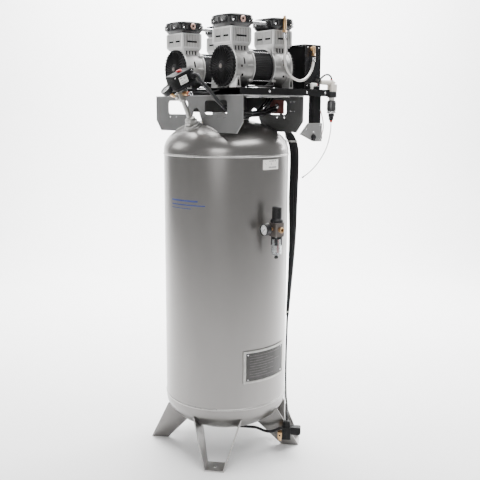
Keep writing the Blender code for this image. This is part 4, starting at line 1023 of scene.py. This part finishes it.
def build_post():
    """Sheet cover of the tray under the right-hand channel, with what is fixed to it."""
    outline = [(0.1905, 1.3222), (0.2322, 1.3645), (0.3085, 1.3645), (0.3085, 1.2925), (0.2622, 1.2925)]
    sheet = Form()
    sheet.prism(outline, 0.2362, 0.2372, SIDEWAYS)
    for (y0, z0), (y1, z1) in zip(outline, outline[1:] + outline[:1]):
        sheet.tube([(0.2376, y0, z0), (0.2376, y1, z1)], 0.001, 8, 1)
    sheet.make("tray_sheet", [DECK, DULL_STEEL], slot="bright_steel")
    fittings = Form()
    out = Vector((1, 0, 0))
    knob = along(out, (0.2372, 0.262, 1.31))
    fittings.turned([(0.0105, 0.0), (0.011, 0.002), (0.0095, 0.007), (0.006, 0.009), (0.0, 0.0094)], 24,
                    knob)
    fittings.studs((0.0098, -0.0012, 0.0), (0.0114, 0.0012, 0.006), 10, knob)
    fittings.block((0.2372, 0.25, 1.2955), (0.241, 0.27, 1.301))
    fittings.screw((0.2372, 0.262, 1.329), out, 0.0042, 0.003, 1)
    for y, z in ((0.224, 1.34), (0.3, 1.2995), (0.3, 1.357)):
        fittings.screw((0.2372, y, z), out, 0.0032, 0.002, 1)
    fittings.make("tray_fittings", [PLASTIC, STEEL], slot="black_plastic")
    thin = Form()
    route = [(0.2205, 0.304, 1.44), (0.2205, 0.309, 1.428), (0.2215, 0.319, 1.405), (0.224, 0.327, 1.375),
             (0.226, 0.328, 1.345), (0.227, 0.32, 1.32), (0.228, 0.315, 1.3125)]
    thin.tube(smooth_route(route, 40), 0.0019, 12)
    thin.turned([(0.0048, 1.301), (0.0052, 1.306), (0.004, 1.3125), (0.0, 1.313)], 20,
                shift(0.228, 0.315), 1)
    thin.block((0.224, 0.3045, 1.3035), (0.23, 0.316, 1.3085), None, 1)
    thin.make("vent_tube", [MAROON, DULL_STEEL], slot="white_tube")


# ---- pressure switch group -----------------------------------------------------------------------
def switch_place():
    """Frame of the switch group, square to the top head where the riser stands."""
    bx, by = 0.012, -0.172
    height = DEPTH * sqrt(1 - (bx * bx + by * by) / TANK_R ** 2)
    up = Vector((bx / TANK_R ** 2, by / TANK_R ** 2, height / DEPTH ** 2)).normalized()
    right = Vector((1, 0, 0))
    right = (right - up * right.dot(up)).normalized()
    back = up.cross(right)
    foot = Vector((bx, by, dome_z(bx, by)))
    return Matrix([[right[i], back[i], up[i], foot[i]] for i in range(3)] + [[0, 0, 0, 1]])


def build_gauge(name, centre, facing, radius, depth, socket, body):
    """Gauge: cup with a rolled rim, dial with marks and an arc, needle, lens and stem."""
    place = along(facing, centre)
    cup = Form()
    rim = [(0.8, -depth), (0.93, -depth * 0.92), (0.96, -depth * 0.3), (1.0, -depth * 0.24),
           (1.0, -0.0012), (0.97, 0.0), (0.9, 0.0), (0.87, -0.0016), (0.87, -0.005)]
    cup.turned([(radius * share, h) for share, h in rim], 56, place)
    back = Vector(centre) - Vector(facing) * (depth - 0.003)
    reach = Vector(socket) - back
    stem = along(reach, back)
    cup.rod(0.0062, 0.0, reach.length, 24, stem, 1)
    cup.hexagon(0.0078, reach.length * 0.45, reach.length * 0.8, stem, 1)
    cup.make(name + "_case", [PLASTIC, BRASS], bevel=0.0002, stands_for=[name], slot="black_plastic")
    dial = Form()
    dial.turned([(radius * 0.868, -0.005), (radius * 0.868, -0.0046), (0.002, -0.0046)], 48, place)
    for k in range(28):
        long = k % 5 == 0 or k == 27
        near, half = (0.62, 0.03) if long else (0.7, 0.015)
        spin = place @ Matrix.Rotation(radians(225 - 10 * k), 4, "Z")
        dial.block((radius * near, -radius * half, -0.00455), (radius * 0.78, radius * half, -0.0043),
                   spin, 1)
    for k in range(24):
        a0, a1 = radians(225 - 270 * k / 24), radians(225 - 270 * (k + 1) / 24)
        ring = [polar(radius * share, a) for share, a in ((0.57, a0), (0.6, a0), (0.6, a1), (0.57, a1))]
        dial.prism(ring, -0.00455, -0.0044, place, 2)
    dial.make(name + "_dial", [DIAL, INK, BLUE], slot="white_plastic")
    hand = Form()
    tail, tip = -radius * 0.22, radius * 0.66
    hand.prism([(tail, -0.0013), (tip, -0.0005), (tip, 0.0005), (tail, 0.0013)], -0.0034, -0.003,
               place @ Matrix.Rotation(radians(225), 4, "Z"))
    hand.turned([(radius * 0.075, -0.0042), (radius * 0.075, -0.0026), (radius * 0.05, -0.0022)], 20, place)
    hand.make(name + "_hand", [INK], body=body, stands_for=[name + "_needle"], slot="black_plastic")
    lens = Form()
    lens.turned([(radius * 0.885, -0.0014), (radius * 0.885, -0.0006), (0.0, -0.0004)], 48, place)
    lens.make(name + "_lens", [LENS], slot="clear_plastic")


def build_riser(place):
    """Fitting on the top head that carries the switch, its gauge and the relief valve."""
    base = Form()
    base.turned([(0.0335, -0.015), (0.0335, 0.0095), (0.031, 0.012), (0.0235, 0.012)], 56, place)
    base.hexagon(0.0262, 0.0122, 0.0245, place, turn=10)
    base.turned([(0.0215, 0.024), (0.0205, 0.035), (0.015, 0.0385), (0.01, 0.0395)], 40, place)
    base.rod(0.0092, 0.039, 0.118, 36, place)
    base.turned([(0.0135, 0.108), (0.014, 0.1095), (0.014, 0.118)], 36, place)
    base.prism(rounded(-0.0155, -0.0195, 0.0155, 0.0255, 0.004, 4), 0.118, 0.1445, place)
    base.hexagon(0.013, 0.1445, 0.1548, place)
    base.turned([(0.0085, 0.0), (0.0085, 0.007), (0.0, 0.0072)], 24,
                place @ shift(0, -0.0195, 0.132) @ UPRIGHT)
    base.make("riser", [DULL_STEEL], bevel=0.0007, stands_for=["riser_manifold"], slot="bright_steel")
    bead = Form()
    rows = []
    for k in range(72):
        point = place @ Vector((*polar(0.0345, 2 * pi * k / 72), 0.0))
        point.z = dome_z(point.x, point.y) + 0.0012
        out = (point - place.translation).normalized()
        swell = 0.0026 + 0.0004 * sin(k * 2.1)
        section = [polar(swell, 2 * pi * j / 8) for j in range(8)]
        rows.append([point + out * a + Vector((0, 0, b)) for a, b in section])
    bead.rings(rows, closed=True)
    bead.make("riser_weld", [WELD], slot="silver_paint")


def build_switch_box(place):
    box = Form()
    box.prism(rounded(-0.029, -0.026, 0.031, 0.072, 0.0035, 4), 0.1552, 0.164, place, 1)
    low = rounded(-0.0285, -0.0255, 0.0305, 0.0715, 0.006, 5)
    levels = ((1.0, 0.1642), (1.0, 0.208), (0.985, 0.212), (0.955, 0.2145), (0.9, 0.215))
    centre = Vector((0.001, 0.023))
    box.rings([[(centre.x + (px - centre.x) * s, centre.y + (py - centre.y) * s, z) for px, py in low]
               for s, z in levels], 0, place)
    for k in range(5):
        box.block((-0.018 + 0.009 * k, -0.0262, 0.172), (-0.015 + 0.009 * k, -0.025, 0.205), place)
    box.prism(rounded(-0.012, 0.012, 0.02, 0.044, 0.003, 3), 0.2148, 0.21525, place, 1)
    box.make("switch_box", [BLACK, PLASTIC], bevel=0.0006, stands_for=["pressure_switch"],
             slot="black_plastic")
    gland = Form()
    spot = place @ shift(0.03, 0.056, 0.188) @ FACE_X
    gland.hexagon(0.0128, 0.0, 0.0065, spot)
    gland.rod(0.0108, 0.006, 0.012, 32, spot)
    gland.hexagon(0.01229, 0.009, 0.017, spot)
    gland.turned([(0.0115, 0.0165), (0.0105, 0.0205), (0.0088, 0.022), (0.0, 0.0222)], 32, spot)
    gland.prism(rounded(-0.016, -0.014, 0.016, 0.014, 0.004, 3), -0.0245, -0.0012,
                place @ shift(0.012, 0.0735, 0.188) @ Matrix.Rotation(radians(-90), 4, "X"))
    gland.make("switch_gland", [PLASTIC], bevel=0.0005, slot="black_plastic")


def build_switch_label(place):
    label = Form()
    label.block((0.0306, -0.004, 0.174), (0.03095, 0.034, 0.202), place)
    for y0, y1, z0, z1 in ((0.0, 0.012, 0.196, 0.199), (0.016, 0.03, 0.195, 0.1965),
                           (0.016, 0.026, 0.1905, 0.192), (0.0, 0.012, 0.187, 0.1885),
                           (0.0, 0.03, 0.18, 0.1812), (0.0, 0.022, 0.1765, 0.1777)):
        label.block((0.03095, y0, z0), (0.0311, y1, z1), place, 1)
    out = place.to_3x3() @ Vector((1, 0, 0))
    for y in (0.062, -0.019):
        label.screw(place @ Vector((0.0305, y, 0.206)), out, 0.003, 0.0018, 2)
    label.make("switch_label", [PAPER, INK, STEEL], slot="white_plastic")


def build_lever(place):
    lever = Form()
    at = place @ shift(0.004, 0.028, 0.2153)
    lever.turned([(0.009, 0.0003), (0.009, 0.004), (0.0075, 0.0062), (0.0, 0.0068)], 32, at)
    grip = [(-0.0045, 0.0022), (0.0045, 0.0022), (0.0045, 0.0075), (0.003, 0.0092), (-0.003, 0.0092),
            (-0.0045, 0.0075)]
    lever.rings([[(x * w, y, z) for x, z in grip] for w, y in ((0.85, -0.0165), (1.0, -0.014),
                                                               (1.0, 0.002), (0.9, 0.006))], 0, at)
    lever.make("switch_knob", [RED], body="lever", bevel=0.0005, stands_for=["switch_lever"],
               slot="red_plastic")


def build_relief(place):
    """Relief valve with the ring that is pulled to open it."""
    turn = place @ shift(0.0155, 0.004, 0.137) @ FACE_X
    relief = Form()
    relief.rod(0.0072, 0.0, 0.008, 28, turn)
    relief.hexagon(0.0092, 0.0078, 0.015, turn)
    relief.turned([(0.0085, 0.0148), (0.0085, 0.024), (0.0068, 0.027), (0.0055, 0.0285), (0.0055, 0.0335),
                   (0.0, 0.0337)], 28, turn)
    relief.sleeve(0.006, 0.0074, 0.029, 0.0318, 28, turn, 1)
    relief.make("relief_body", [BRASS, RED], bevel=0.0003, slot="brass")
    ring = turn @ shift(0, 0, 0.0363)
    pull = Form()
    pull.turned([(0.0036, -0.0019), (0.0036, 0.004), (0.0026, 0.006), (0.0, 0.0062)], 20, ring)
    pull.hoop(0.008, 0.0011, ring @ shift(0, 0, 0.0135) @ UPRIGHT, 40, 10)
    pull.make("relief_pull_ring", [STEEL], body="relief_pull", stands_for=["relief_ring"],
              slot="bright_steel")


def build_switch_group():
    place = switch_place()
    build_riser(place)
    build_switch_box(place)
    build_switch_label(place)
    build_lever(place)
    face = Vector((0.0, -0.74, 0.67)).normalized()
    build_gauge("tank_gauge", Vector((0.018, -0.3, 1.492)), face, 0.0215, 0.024,
                place @ Vector((0.0, -0.0285, 0.14)), "tank_needle")
    build_relief(place)


def build_switch_cables(place):
    supply = [place @ Vector((0.05, 0.056, 0.188)), place @ Vector((0.07, 0.056, 0.1875)),
              (0.104, -0.194, 1.519), (0.131, -0.183, 1.493), (0.153, -0.171, 1.466),
              (0.172, -0.159, 1.44), (0.186, -0.146, 1.424), (0.189, -0.11, 1.416), (0.176, -0.04, 1.402),
              (0.16, 0.06, 1.404), (0.146, 0.13, 1.42), (0.136, 0.17, 1.412), (0.126, 0.188, 1.389),
              (0.12, 0.1985, 1.3708), (0.12, 0.2045, 1.3603)]
    route = smooth_route(supply, 150)
    pair = Form()
    for sign in (-1, 1):
        points = []
        for k, p in enumerate(route):
            run = (route[min(k + 1, 149)] - route[max(k - 1, 0)]).normalized()
            side = run.cross(Vector((0.61, 0.79, 0.0))).normalized()
            spread = min(k / 10.0, 1.0)
            points.append(p + side * sign * 0.006 * spread)
        pair.tube(points, 0.006, 18)
    pair.make("supply_pair", [RUBBER], stands_for=["supply_cable"], slot="cable_rubber")
    thin = Form()
    route = [place @ Vector((0.01, 0.028, 0.1545)), (0.03, -0.206, 1.482), (0.062, -0.19, 1.483),
             (0.092, -0.172, 1.479), (0.118, -0.16, 1.48), (0.14, -0.136, 1.49)]
    thin.tube(smooth_route(route, 50), 0.0027, 12)
    thin.make("thin_cable", [RUBBER], slot="cable_rubber")


def build_deck_leads():
    """Loops of lead under the deck, seen through the windows."""
    loops = Form()
    for over, depth in ((0.0, 0.0), (0.02, 0.018), (-0.018, 0.03)):
        route = [(0.17 + over, -0.11, 1.46), (0.165 + over, -0.07, 1.425 - depth),
                 (0.15 + over, -0.02, 1.402 - depth * 0.6), (0.14 + over, 0.04, 1.41 - depth * 0.5),
                 (0.13 + over, 0.1, 1.438), (0.12 + over, 0.128, 1.46)]
        loops.tube(smooth_route(route, 50), 0.0031, 12)
    loops.make("deck_leads", [RUBBER], slot="cable_rubber")


def build_trunk():
    """Bundle of cables down the tank, wide and flat down to its lower tie and a single lead below it."""
    trunk = [(0.12, 0.2048, 1.3598), (0.12, 0.2148, 1.3425), (0.122, 0.243, 1.305), (0.122, 0.264, 1.25),
             (0.122, 0.266, 1.15), (0.1235, 0.262, 1.06), (0.124, 0.262, 0.885), (0.117, 0.26, 0.723),
             (0.1115, 0.258, 0.624), (0.11, 0.254, 0.54), (0.109, 0.2515, 0.42), (0.109, 0.2505, 0.33),
             (0.1105, 0.2495, 0.25), (0.13, 0.234, 0.205), (0.175, 0.198, 0.18), (0.222, 0.162, 0.168),
             (0.254, 0.133, 0.162), (0.2652, 0.1223, 0.153), (0.2652, 0.1223, 0.1385)]
    route = smooth_route(trunk, 260)
    strands = Form()
    spread = Vector((0.613, 0.79, 0.0))
    deep = Vector((0.79, -0.613, 0.0))
    tie = 0.545
    for lane, front in ((-1.0, 0.0), (-0.5, 0.55), (0.0, 0.75), (0.5, 0.55), (1.0, 0.0), (-0.5, -0.6),
                        (0.5, -0.6)):
        points = []
        for k, p in enumerate(route):
            if p.z < tie - 0.01:
                break
            width = min(max((p.z - tie) / 0.505, 0.0), 1.0)
            start = min(k / 12.0, 1.0)
            reach = 0.0022 + 0.0125 * width
            points.append(p + spread * lane * reach * start
                          + deep * front * (0.002 + 0.008 * width) * start)
        strands.tube(points, 0.0041, 14)
    lead = [p for p in route if p.z < tie + 0.06]
    strands.tube(lead, 0.004, 16)
    strands.make("cable_bundle", [RUBBER], smooth=50, stands_for=["cable_trunk"], slot="cable_rubber")
    straps = Form()
    section = ((1.0, -0.004), (1.06, -0.004), (1.06, 0.004), (1.0, 0.004))
    for z, rx, ry in ((1.289, 0.02, 0.016), (tie + 0.004, 0.0068, 0.0062)):
        p = min(route, key=lambda q: abs(q.z - z))
        rows = []
        for k in range(40):
            a = 2 * pi * k / 40
            out = spread * cos(a) * rx + deep * sin(a) * ry
            rows.append([p + out * s + Vector((0, 0, h)) for s, h in section])
        straps.rings(rows, closed=True)
    straps.make("bundle_straps", [DULL_STEEL], slot="bright_steel")


def build_thin_tubes():
    grey = Form()
    line = [(0.1, 0.226, 1.345), (0.096, 0.24, 1.3), (0.096, 0.246, 1.25), (0.096, 0.246, 1.15),
            (0.097, 0.2455, 0.95), (0.097, 0.245, 0.7), (0.096, 0.245, 0.45), (0.097, 0.245, 0.3),
            (0.106, 0.242, 0.225), (0.145, 0.215, 0.185), (0.185, 0.18, 0.17), (0.228, 0.142, 0.156),
            (0.25, 0.125, 0.13), (0.254, 0.119, 0.1185)]
    grey.tube(smooth_route(line, 160), 0.0021, 12)
    grey.make("sense_tube", [NYLON], slot="white_tube")
    purge = [(0.25, 0.3475, 1.3655), (0.25, 0.346, 1.33), (0.246, 0.33, 1.265), (0.225, 0.305, 1.205),
             (0.19, 0.293, 1.165), (0.15, 0.292, 1.14)]
    white = Form()
    white.tube(smooth_route(purge, 80), 0.0022, 16)
    white.lathe([(0.0, -0.001), (0.0042, 0.0), (0.0046, 0.004), (0.0034, 0.009), (0.0, 0.01)], 20,
                along((0.99, 0.05, 0.55), (0.1455, 0.2918, 1.1375)))
    white.make("purge_line", [NYLON], stands_for=["purge_tube"], slot="white_tube")


def build_cables():
    build_switch_cables(switch_place())
    build_deck_leads()
    build_trunk()
    build_thin_tubes()


# ---- regulator -----------------------------------------------------------------------------------
REGULATOR = (0.312, 0.01, 0.966)


def build_regulator_block():
    x, y, z = REGULATOR
    at = shift(x, y)
    body = Form()
    body.prism(rounded(-0.022, -0.022, 0.022, 0.022, 0.006, 5), z - 0.0268, z + 0.0268, at)
    for side in (-1, 1):
        body.prism(rounded(-0.016, -0.018, 0.016, 0.018, 0.004, 3), 0.0215, 0.0222,
                   shift(x, y, z) @ Matrix.Rotation(radians(90 * side), 4, "X"))
    nipple = along((1, 0, 0), (0, y, z))
    body.turned([(0.018, TANK_R - 0.004), (0.018, TANK_R + 0.0085), (0.0165, TANK_R + 0.01)], 36, nipple, 1)
    body.rod(0.0084, TANK_R, x - 0.012, 28, nipple, 1)
    body.hexagon(0.0112, x - 0.0375, x - 0.0265, nipple, 1)
    body.lathe([(0.0055, x + 0.0215), (0.0108, x + 0.0215), (0.0108, x + 0.032), (0.01, x + 0.033),
                (0.0062, x + 0.033), (0.0055, x + 0.0315)], 32, nipple, 2)
    # near-black disc inside the outlet: painted shade of its bore
    body.rod(0.0056, x + 0.0218, x + 0.0222, 24, nipple, 3)
    for sx in (-0.0165, 0.0165):
        for sy in (-0.0165, 0.0165):
            body.screw((x + sx, y + sy, z - 0.0268), (0, 0, -1), 0.0026, 0.0016, 4)
    body.make("regulator_block", [PEWTER, DULL_STEEL, BRASS, PAINTED_SHADE, STEEL], bevel=0.0008,
              stands_for=["regulator_body"], slot="cast_aluminium")


def build_regulator_knob():
    x, y, z = REGULATOR
    at = shift(x, y)
    knob = Form()
    low = z + 0.0273
    knob.turned([(0.024, low), (0.0245, low + 0.0015), (0.0245, low + 0.008), (0.0225, low + 0.011),
                 (0.0195, low + 0.0135), (0.0185, low + 0.017)], 48, at)
    ribs = toothed(36, ((0.0184, 0.0), (0.0184, 0.5), (0.0176, 0.6), (0.0176, 0.9)))
    knob.prism(ribs, low + 0.0165, 1.05, at)
    knob.turned([(0.0176, 1.0498), (0.0168, 1.0518), (0.015, 1.053)], 48, at)
    knob.make("knob", [PLASTIC], body="knob", stands_for=["regulator_knob"], slot="black_plastic")


def build_regulator_bowl():
    """Clear bowl in its guard, with its insides and the drain cock below."""
    x, y, z = REGULATOR
    at = shift(x, y)
    cup = Form()
    top = z - 0.0273
    cup.sleeve(0.019, 0.0214, top, top - 0.009, 48, at)
    cup.studs((0.0178, -0.0058, top - 0.033), (0.0212, 0.0058, top - 0.002), 4, at, -pi / 4)
    cup.make("bowl_guard", [PLASTIC], bevel=0.0007, slot="black_plastic")
    glass = Form()
    glass.lathe([(0.016, top - 0.001), (0.0186, top - 0.001), (0.0194, 0.89), (0.0196, 0.879),
                 (0.0175, 0.869), (0.012, 0.8655), (0.008, 0.865), (0.008, 0.8672), (0.0118, 0.868),
                 (0.0155, 0.8712), (0.0172, 0.88), (0.017, 0.89)], 56, at)
    glass.make("bowl_glass", [CLEAR], stands_for=["regulator_bowl"], slot="clear_plastic")
    inside = Form()
    inside.turned([(0.0095, 0.879), (0.0115, 0.882), (0.0115, 0.908), (0.0075, 0.912), (0.0075, top)], 36,
                  at)
    inside.turned([(0.0072, 0.864), (0.0072, 0.8672), (0.0035, 0.87), (0.0035, 0.8785)], 24, at, 1)
    turns = (-0.28, -0.1, 0.1, 0.28)
    for a in (radians(-20), radians(160)):
        strip = [polar(0.015, a + t) for t in turns] + [polar(0.0162, a + t) for t in turns[::-1]]
        inside.prism(strip, 0.876, 0.93, at, 2)
    inside.make("bowl_insides", [WHITE, PLASTIC, RED], slot="black_plastic")
    cock = Form()
    low = 0.8637
    cock.turned([(0.0058, low), (0.006, low - 0.001), (0.006, low - 0.006), (0.0, low - 0.0064)], 24, at)
    wing = [(-0.0085, -0.004), (-0.006, -0.0072), (0.006, -0.0072), (0.0085, -0.004), (0.0085, 0.002),
            (0.005, 0.005), (-0.005, 0.005), (-0.0085, 0.002)]
    cock.prism(wing, -0.0018, 0.0018, shift(x, y, low - 0.0055) @ SIDEWAYS)
    cock.make("bowl_cock", [PLASTIC], body="drain_cock", bevel=0.0004, stands_for=["bowl_drain"],
              slot="black_plastic")


def build_regulator():
    build_regulator_block()
    build_regulator_knob()
    build_regulator_bowl()
    x, y, z = REGULATOR
    facing = Vector((0.0, -1.0, 0.0))
    build_gauge("regulator_gauge", Vector((x, y - 0.066, z + 0.003)), facing, 0.0225, 0.026,
                (x, y - 0.0222, z + 0.003), "regulator_needle")
    plug = Form()
    plug.turned([(0.0075, -0.001), (0.0075, 0.0028), (0.0062, 0.004)], 28,
                along((0, 1, 0), (x, y + 0.0218, z + 0.003)))
    plug.make("gauge_port_plug", [STEEL], slot="bright_steel")


# ---- automatic drain -----------------------------------------------------------------------------
def build_drain():
    turn = Matrix.Rotation(radians(45), 4, "Z")
    side = -0.101
    valve = Form()
    valve.block((0.2555, side - 0.0175, 0.0585), (0.2915, side + 0.0175, 0.11), turn)
    for k in range(3):
        valve.block((0.256 + 0.012 * k, side - 0.018, 0.064), (0.264 + 0.012 * k, side - 0.017, 0.104),
                    turn)
    valve.turned([(0.0155, 0.1098), (0.0158, 0.112), (0.015, 0.129), (0.012, 0.135), (0.0, 0.1358)], 36,
                 turn @ shift(0.274, side))
    valve.block((0.269, side - 0.016, 0.118), (0.279, side - 0.011, 0.13), turn)
    valve.prism(rounded(0.2912, 0.0805, 0.3325, 0.1125, 0.006, 5), -side - 0.0145, -side + 0.0145,
                turn @ UPRIGHT)
    for k in range(4):
        valve.prism(rounded(0.296 + 0.0085 * k, 0.0802, 0.3 + 0.0085 * k, 0.1128, 0.0015, 3),
                    -side - 0.015, -side + 0.015, turn @ UPRIGHT)
    valve.make("drain_housing", [BLACK], bevel=0.0009, stands_for=["drain_valve"], slot="black_plastic")
    brass = Form()
    brass.block((0.237, side - 0.0125, 0.062), (0.2553, side + 0.0125, 0.086), turn)
    brass.turned([(0.007, 0.047), (0.0075, 0.062), (0.0, 0.0622)], 24, turn @ shift(0.245, side))
    brass.turned([(0.0048, 0.045), (0.005, 0.0471), (0.0, 0.0472)], 24, turn @ shift(0.245, side), 1)
    port = turn @ shift(0.245, side - 0.0125, 0.074) @ UPRIGHT
    brass.sleeve(0.0038, 0.0072, 0.0, 0.0035, 24, port)
    # near-black disc inside the port: painted shade of its bore
    brass.rod(0.0039, 0.0004, 0.001, 20, port, 1)
    brass.make("drain_brass", [BRASS, PAINTED_SHADE], bevel=0.0006, slot="brass")
    pipe = Form()
    route = [(0.004, 0.0, 0.062), (0.03, 0.003, 0.064), (0.062, 0.006, 0.072), (0.095, 0.01, 0.08),
             (0.125, 0.022, 0.086), (0.158, 0.044, 0.088), (0.185, 0.062, 0.08), (0.208, 0.078, 0.078),
             (0.228, 0.092, 0.088), turn @ Vector((0.245, side, 0.1)),
             turn @ Vector((0.258, side, 0.1035))]
    pipe.tube(smooth_route(route, 80), 0.0058, 18)
    pipe.make("drain_hose", [RUBBER], slot="cable_rubber")
    bung = Form()
    bung.lathe([(0.0, 0.084), (0.022, 0.086), (0.022, 0.079), (0.0, 0.079)], 36)
    bung.hexagon(0.0125, 0.056, 0.0795)
    bung.turned([(0.011, 0.047), (0.012, 0.05), (0.012, 0.0562)], 28)
    bung.make("bottom_bung", [DULL_STEEL], bevel=0.0006, slot="bright_steel")


# ---- stage ---------------------------------------------------------------------------------------
def build_stage():
    form = Form()
    curve = [(-4.2, 0.0), (3.0, 0.0)]
    for k in range(1, 13):
        a = pi / 2 * k / 12
        curve.append((3.0 + 1.6 * sin(a), 1.6 * (1 - cos(a))))
    curve.append((4.6, 5.0))
    back = Vector((-0.79, 0.613, 0.0))
    side = Vector((0.613, 0.79, 0.0))
    rows = []
    for s, z in curve:
        middle = back * s + Vector((0, 0, z - 0.0002))
        rows.append([form.bm.verts.new(middle + side * reach) for reach in (-6.0, 6.0)])
    for a, b in zip(rows, rows[1:]):
        form.bm.faces.new((a[0], a[1], b[1], b[0]))
    paper = surface("floor_paper", (0.88, 0.88, 0.88), 0.75, vary=0.01, patch=2.0, grain=200.0, bump=0.01,
                    rough_vary=0.05)
    mesh = form.mesh("floor", [paper])
    mesh.shade_smooth()
    put("floor", mesh)
    world = bpy.data.worlds.new("studio")
    bpy.context.scene.world = world
    world.use_nodes = True
    world.node_tree.nodes["Background"].inputs["Color"].default_value = (1, 1, 1, 1)
    world.node_tree.nodes["Background"].inputs["Strength"].default_value = 0.36

    def softbox(name, at, aim, size, power):
        light = bpy.data.lights.new(name, "AREA")
        light.shape = "RECTANGLE"
        light.size, light.size_y = size
        light.energy = power
        obj = put(name, light)
        obj.location = AXIS + Vector(at)
        obj.rotation_euler = (Vector(aim) - Vector(at)).to_track_quat("-Z", "Y").to_euler()

    softbox("left_box", (-2.3, -2.3, 2.5), (0, 0, 1.5), (1.4, 1.4), 34)
    softbox("fill_box", (2.1, -2.5, 1.9), (0, 0, 1.4), (1.3, 1.3), 32)
    softbox("right_box", (-0.1, 3.2, 2.5), (0, 0, 1.5), (0.8, 2.4), 100)
    softbox("high_box", (1.0, 0.2, 3.5), (0, 0, 1.3), (1.8, 1.8), 95)
    softbox("top_box", (-1.5, 1.2, 4.0), (-1.9, 1.5, 0.0), (3.6, 3.6), 560)
    softbox("back_box", (-1.6, 1.2, 3.4), (-3.6, 2.8, 1.3), (5.0, 1.4), 620)

    camera = bpy.data.cameras.new("camera")
    camera.lens = 53.49
    camera.sensor_width = 36.0
    camera.clip_end = 60.0
    obj = put("camera", camera)
    right = Vector((0.613, 0.79, 0.0)).normalized()
    level = Vector((-right.y, right.x, 0.0))
    tilt = radians(10.308)
    forward = level * cos(tilt) - Vector((0, 0, sin(tilt)))
    up = right.cross(forward)
    turn = Matrix([[right[i], up[i], -forward[i]] for i in range(3)]).to_4x4()
    turn = turn @ Matrix.Rotation(0.0057, 4, "Z")
    obj.matrix_world = Matrix.Translation(AXIS + Vector((2.3589, -1.7561, 1.4145))) @ turn
    bpy.context.scene.camera = obj


def main():
    build_stage()
    build_tank()
    build_labels()
    build_data_plate()
    build_legs()
    build_deck()
    build_painted_reflection()
    build_bases()
    build_pump("left", LEFT_X)
    build_pump("right", RIGHT_X)
    build_aftercooler()
    build_hose()
    build_filter()
    build_post()
    build_switch_group()
    build_cables()
    build_regulator()
    build_drain()


main()
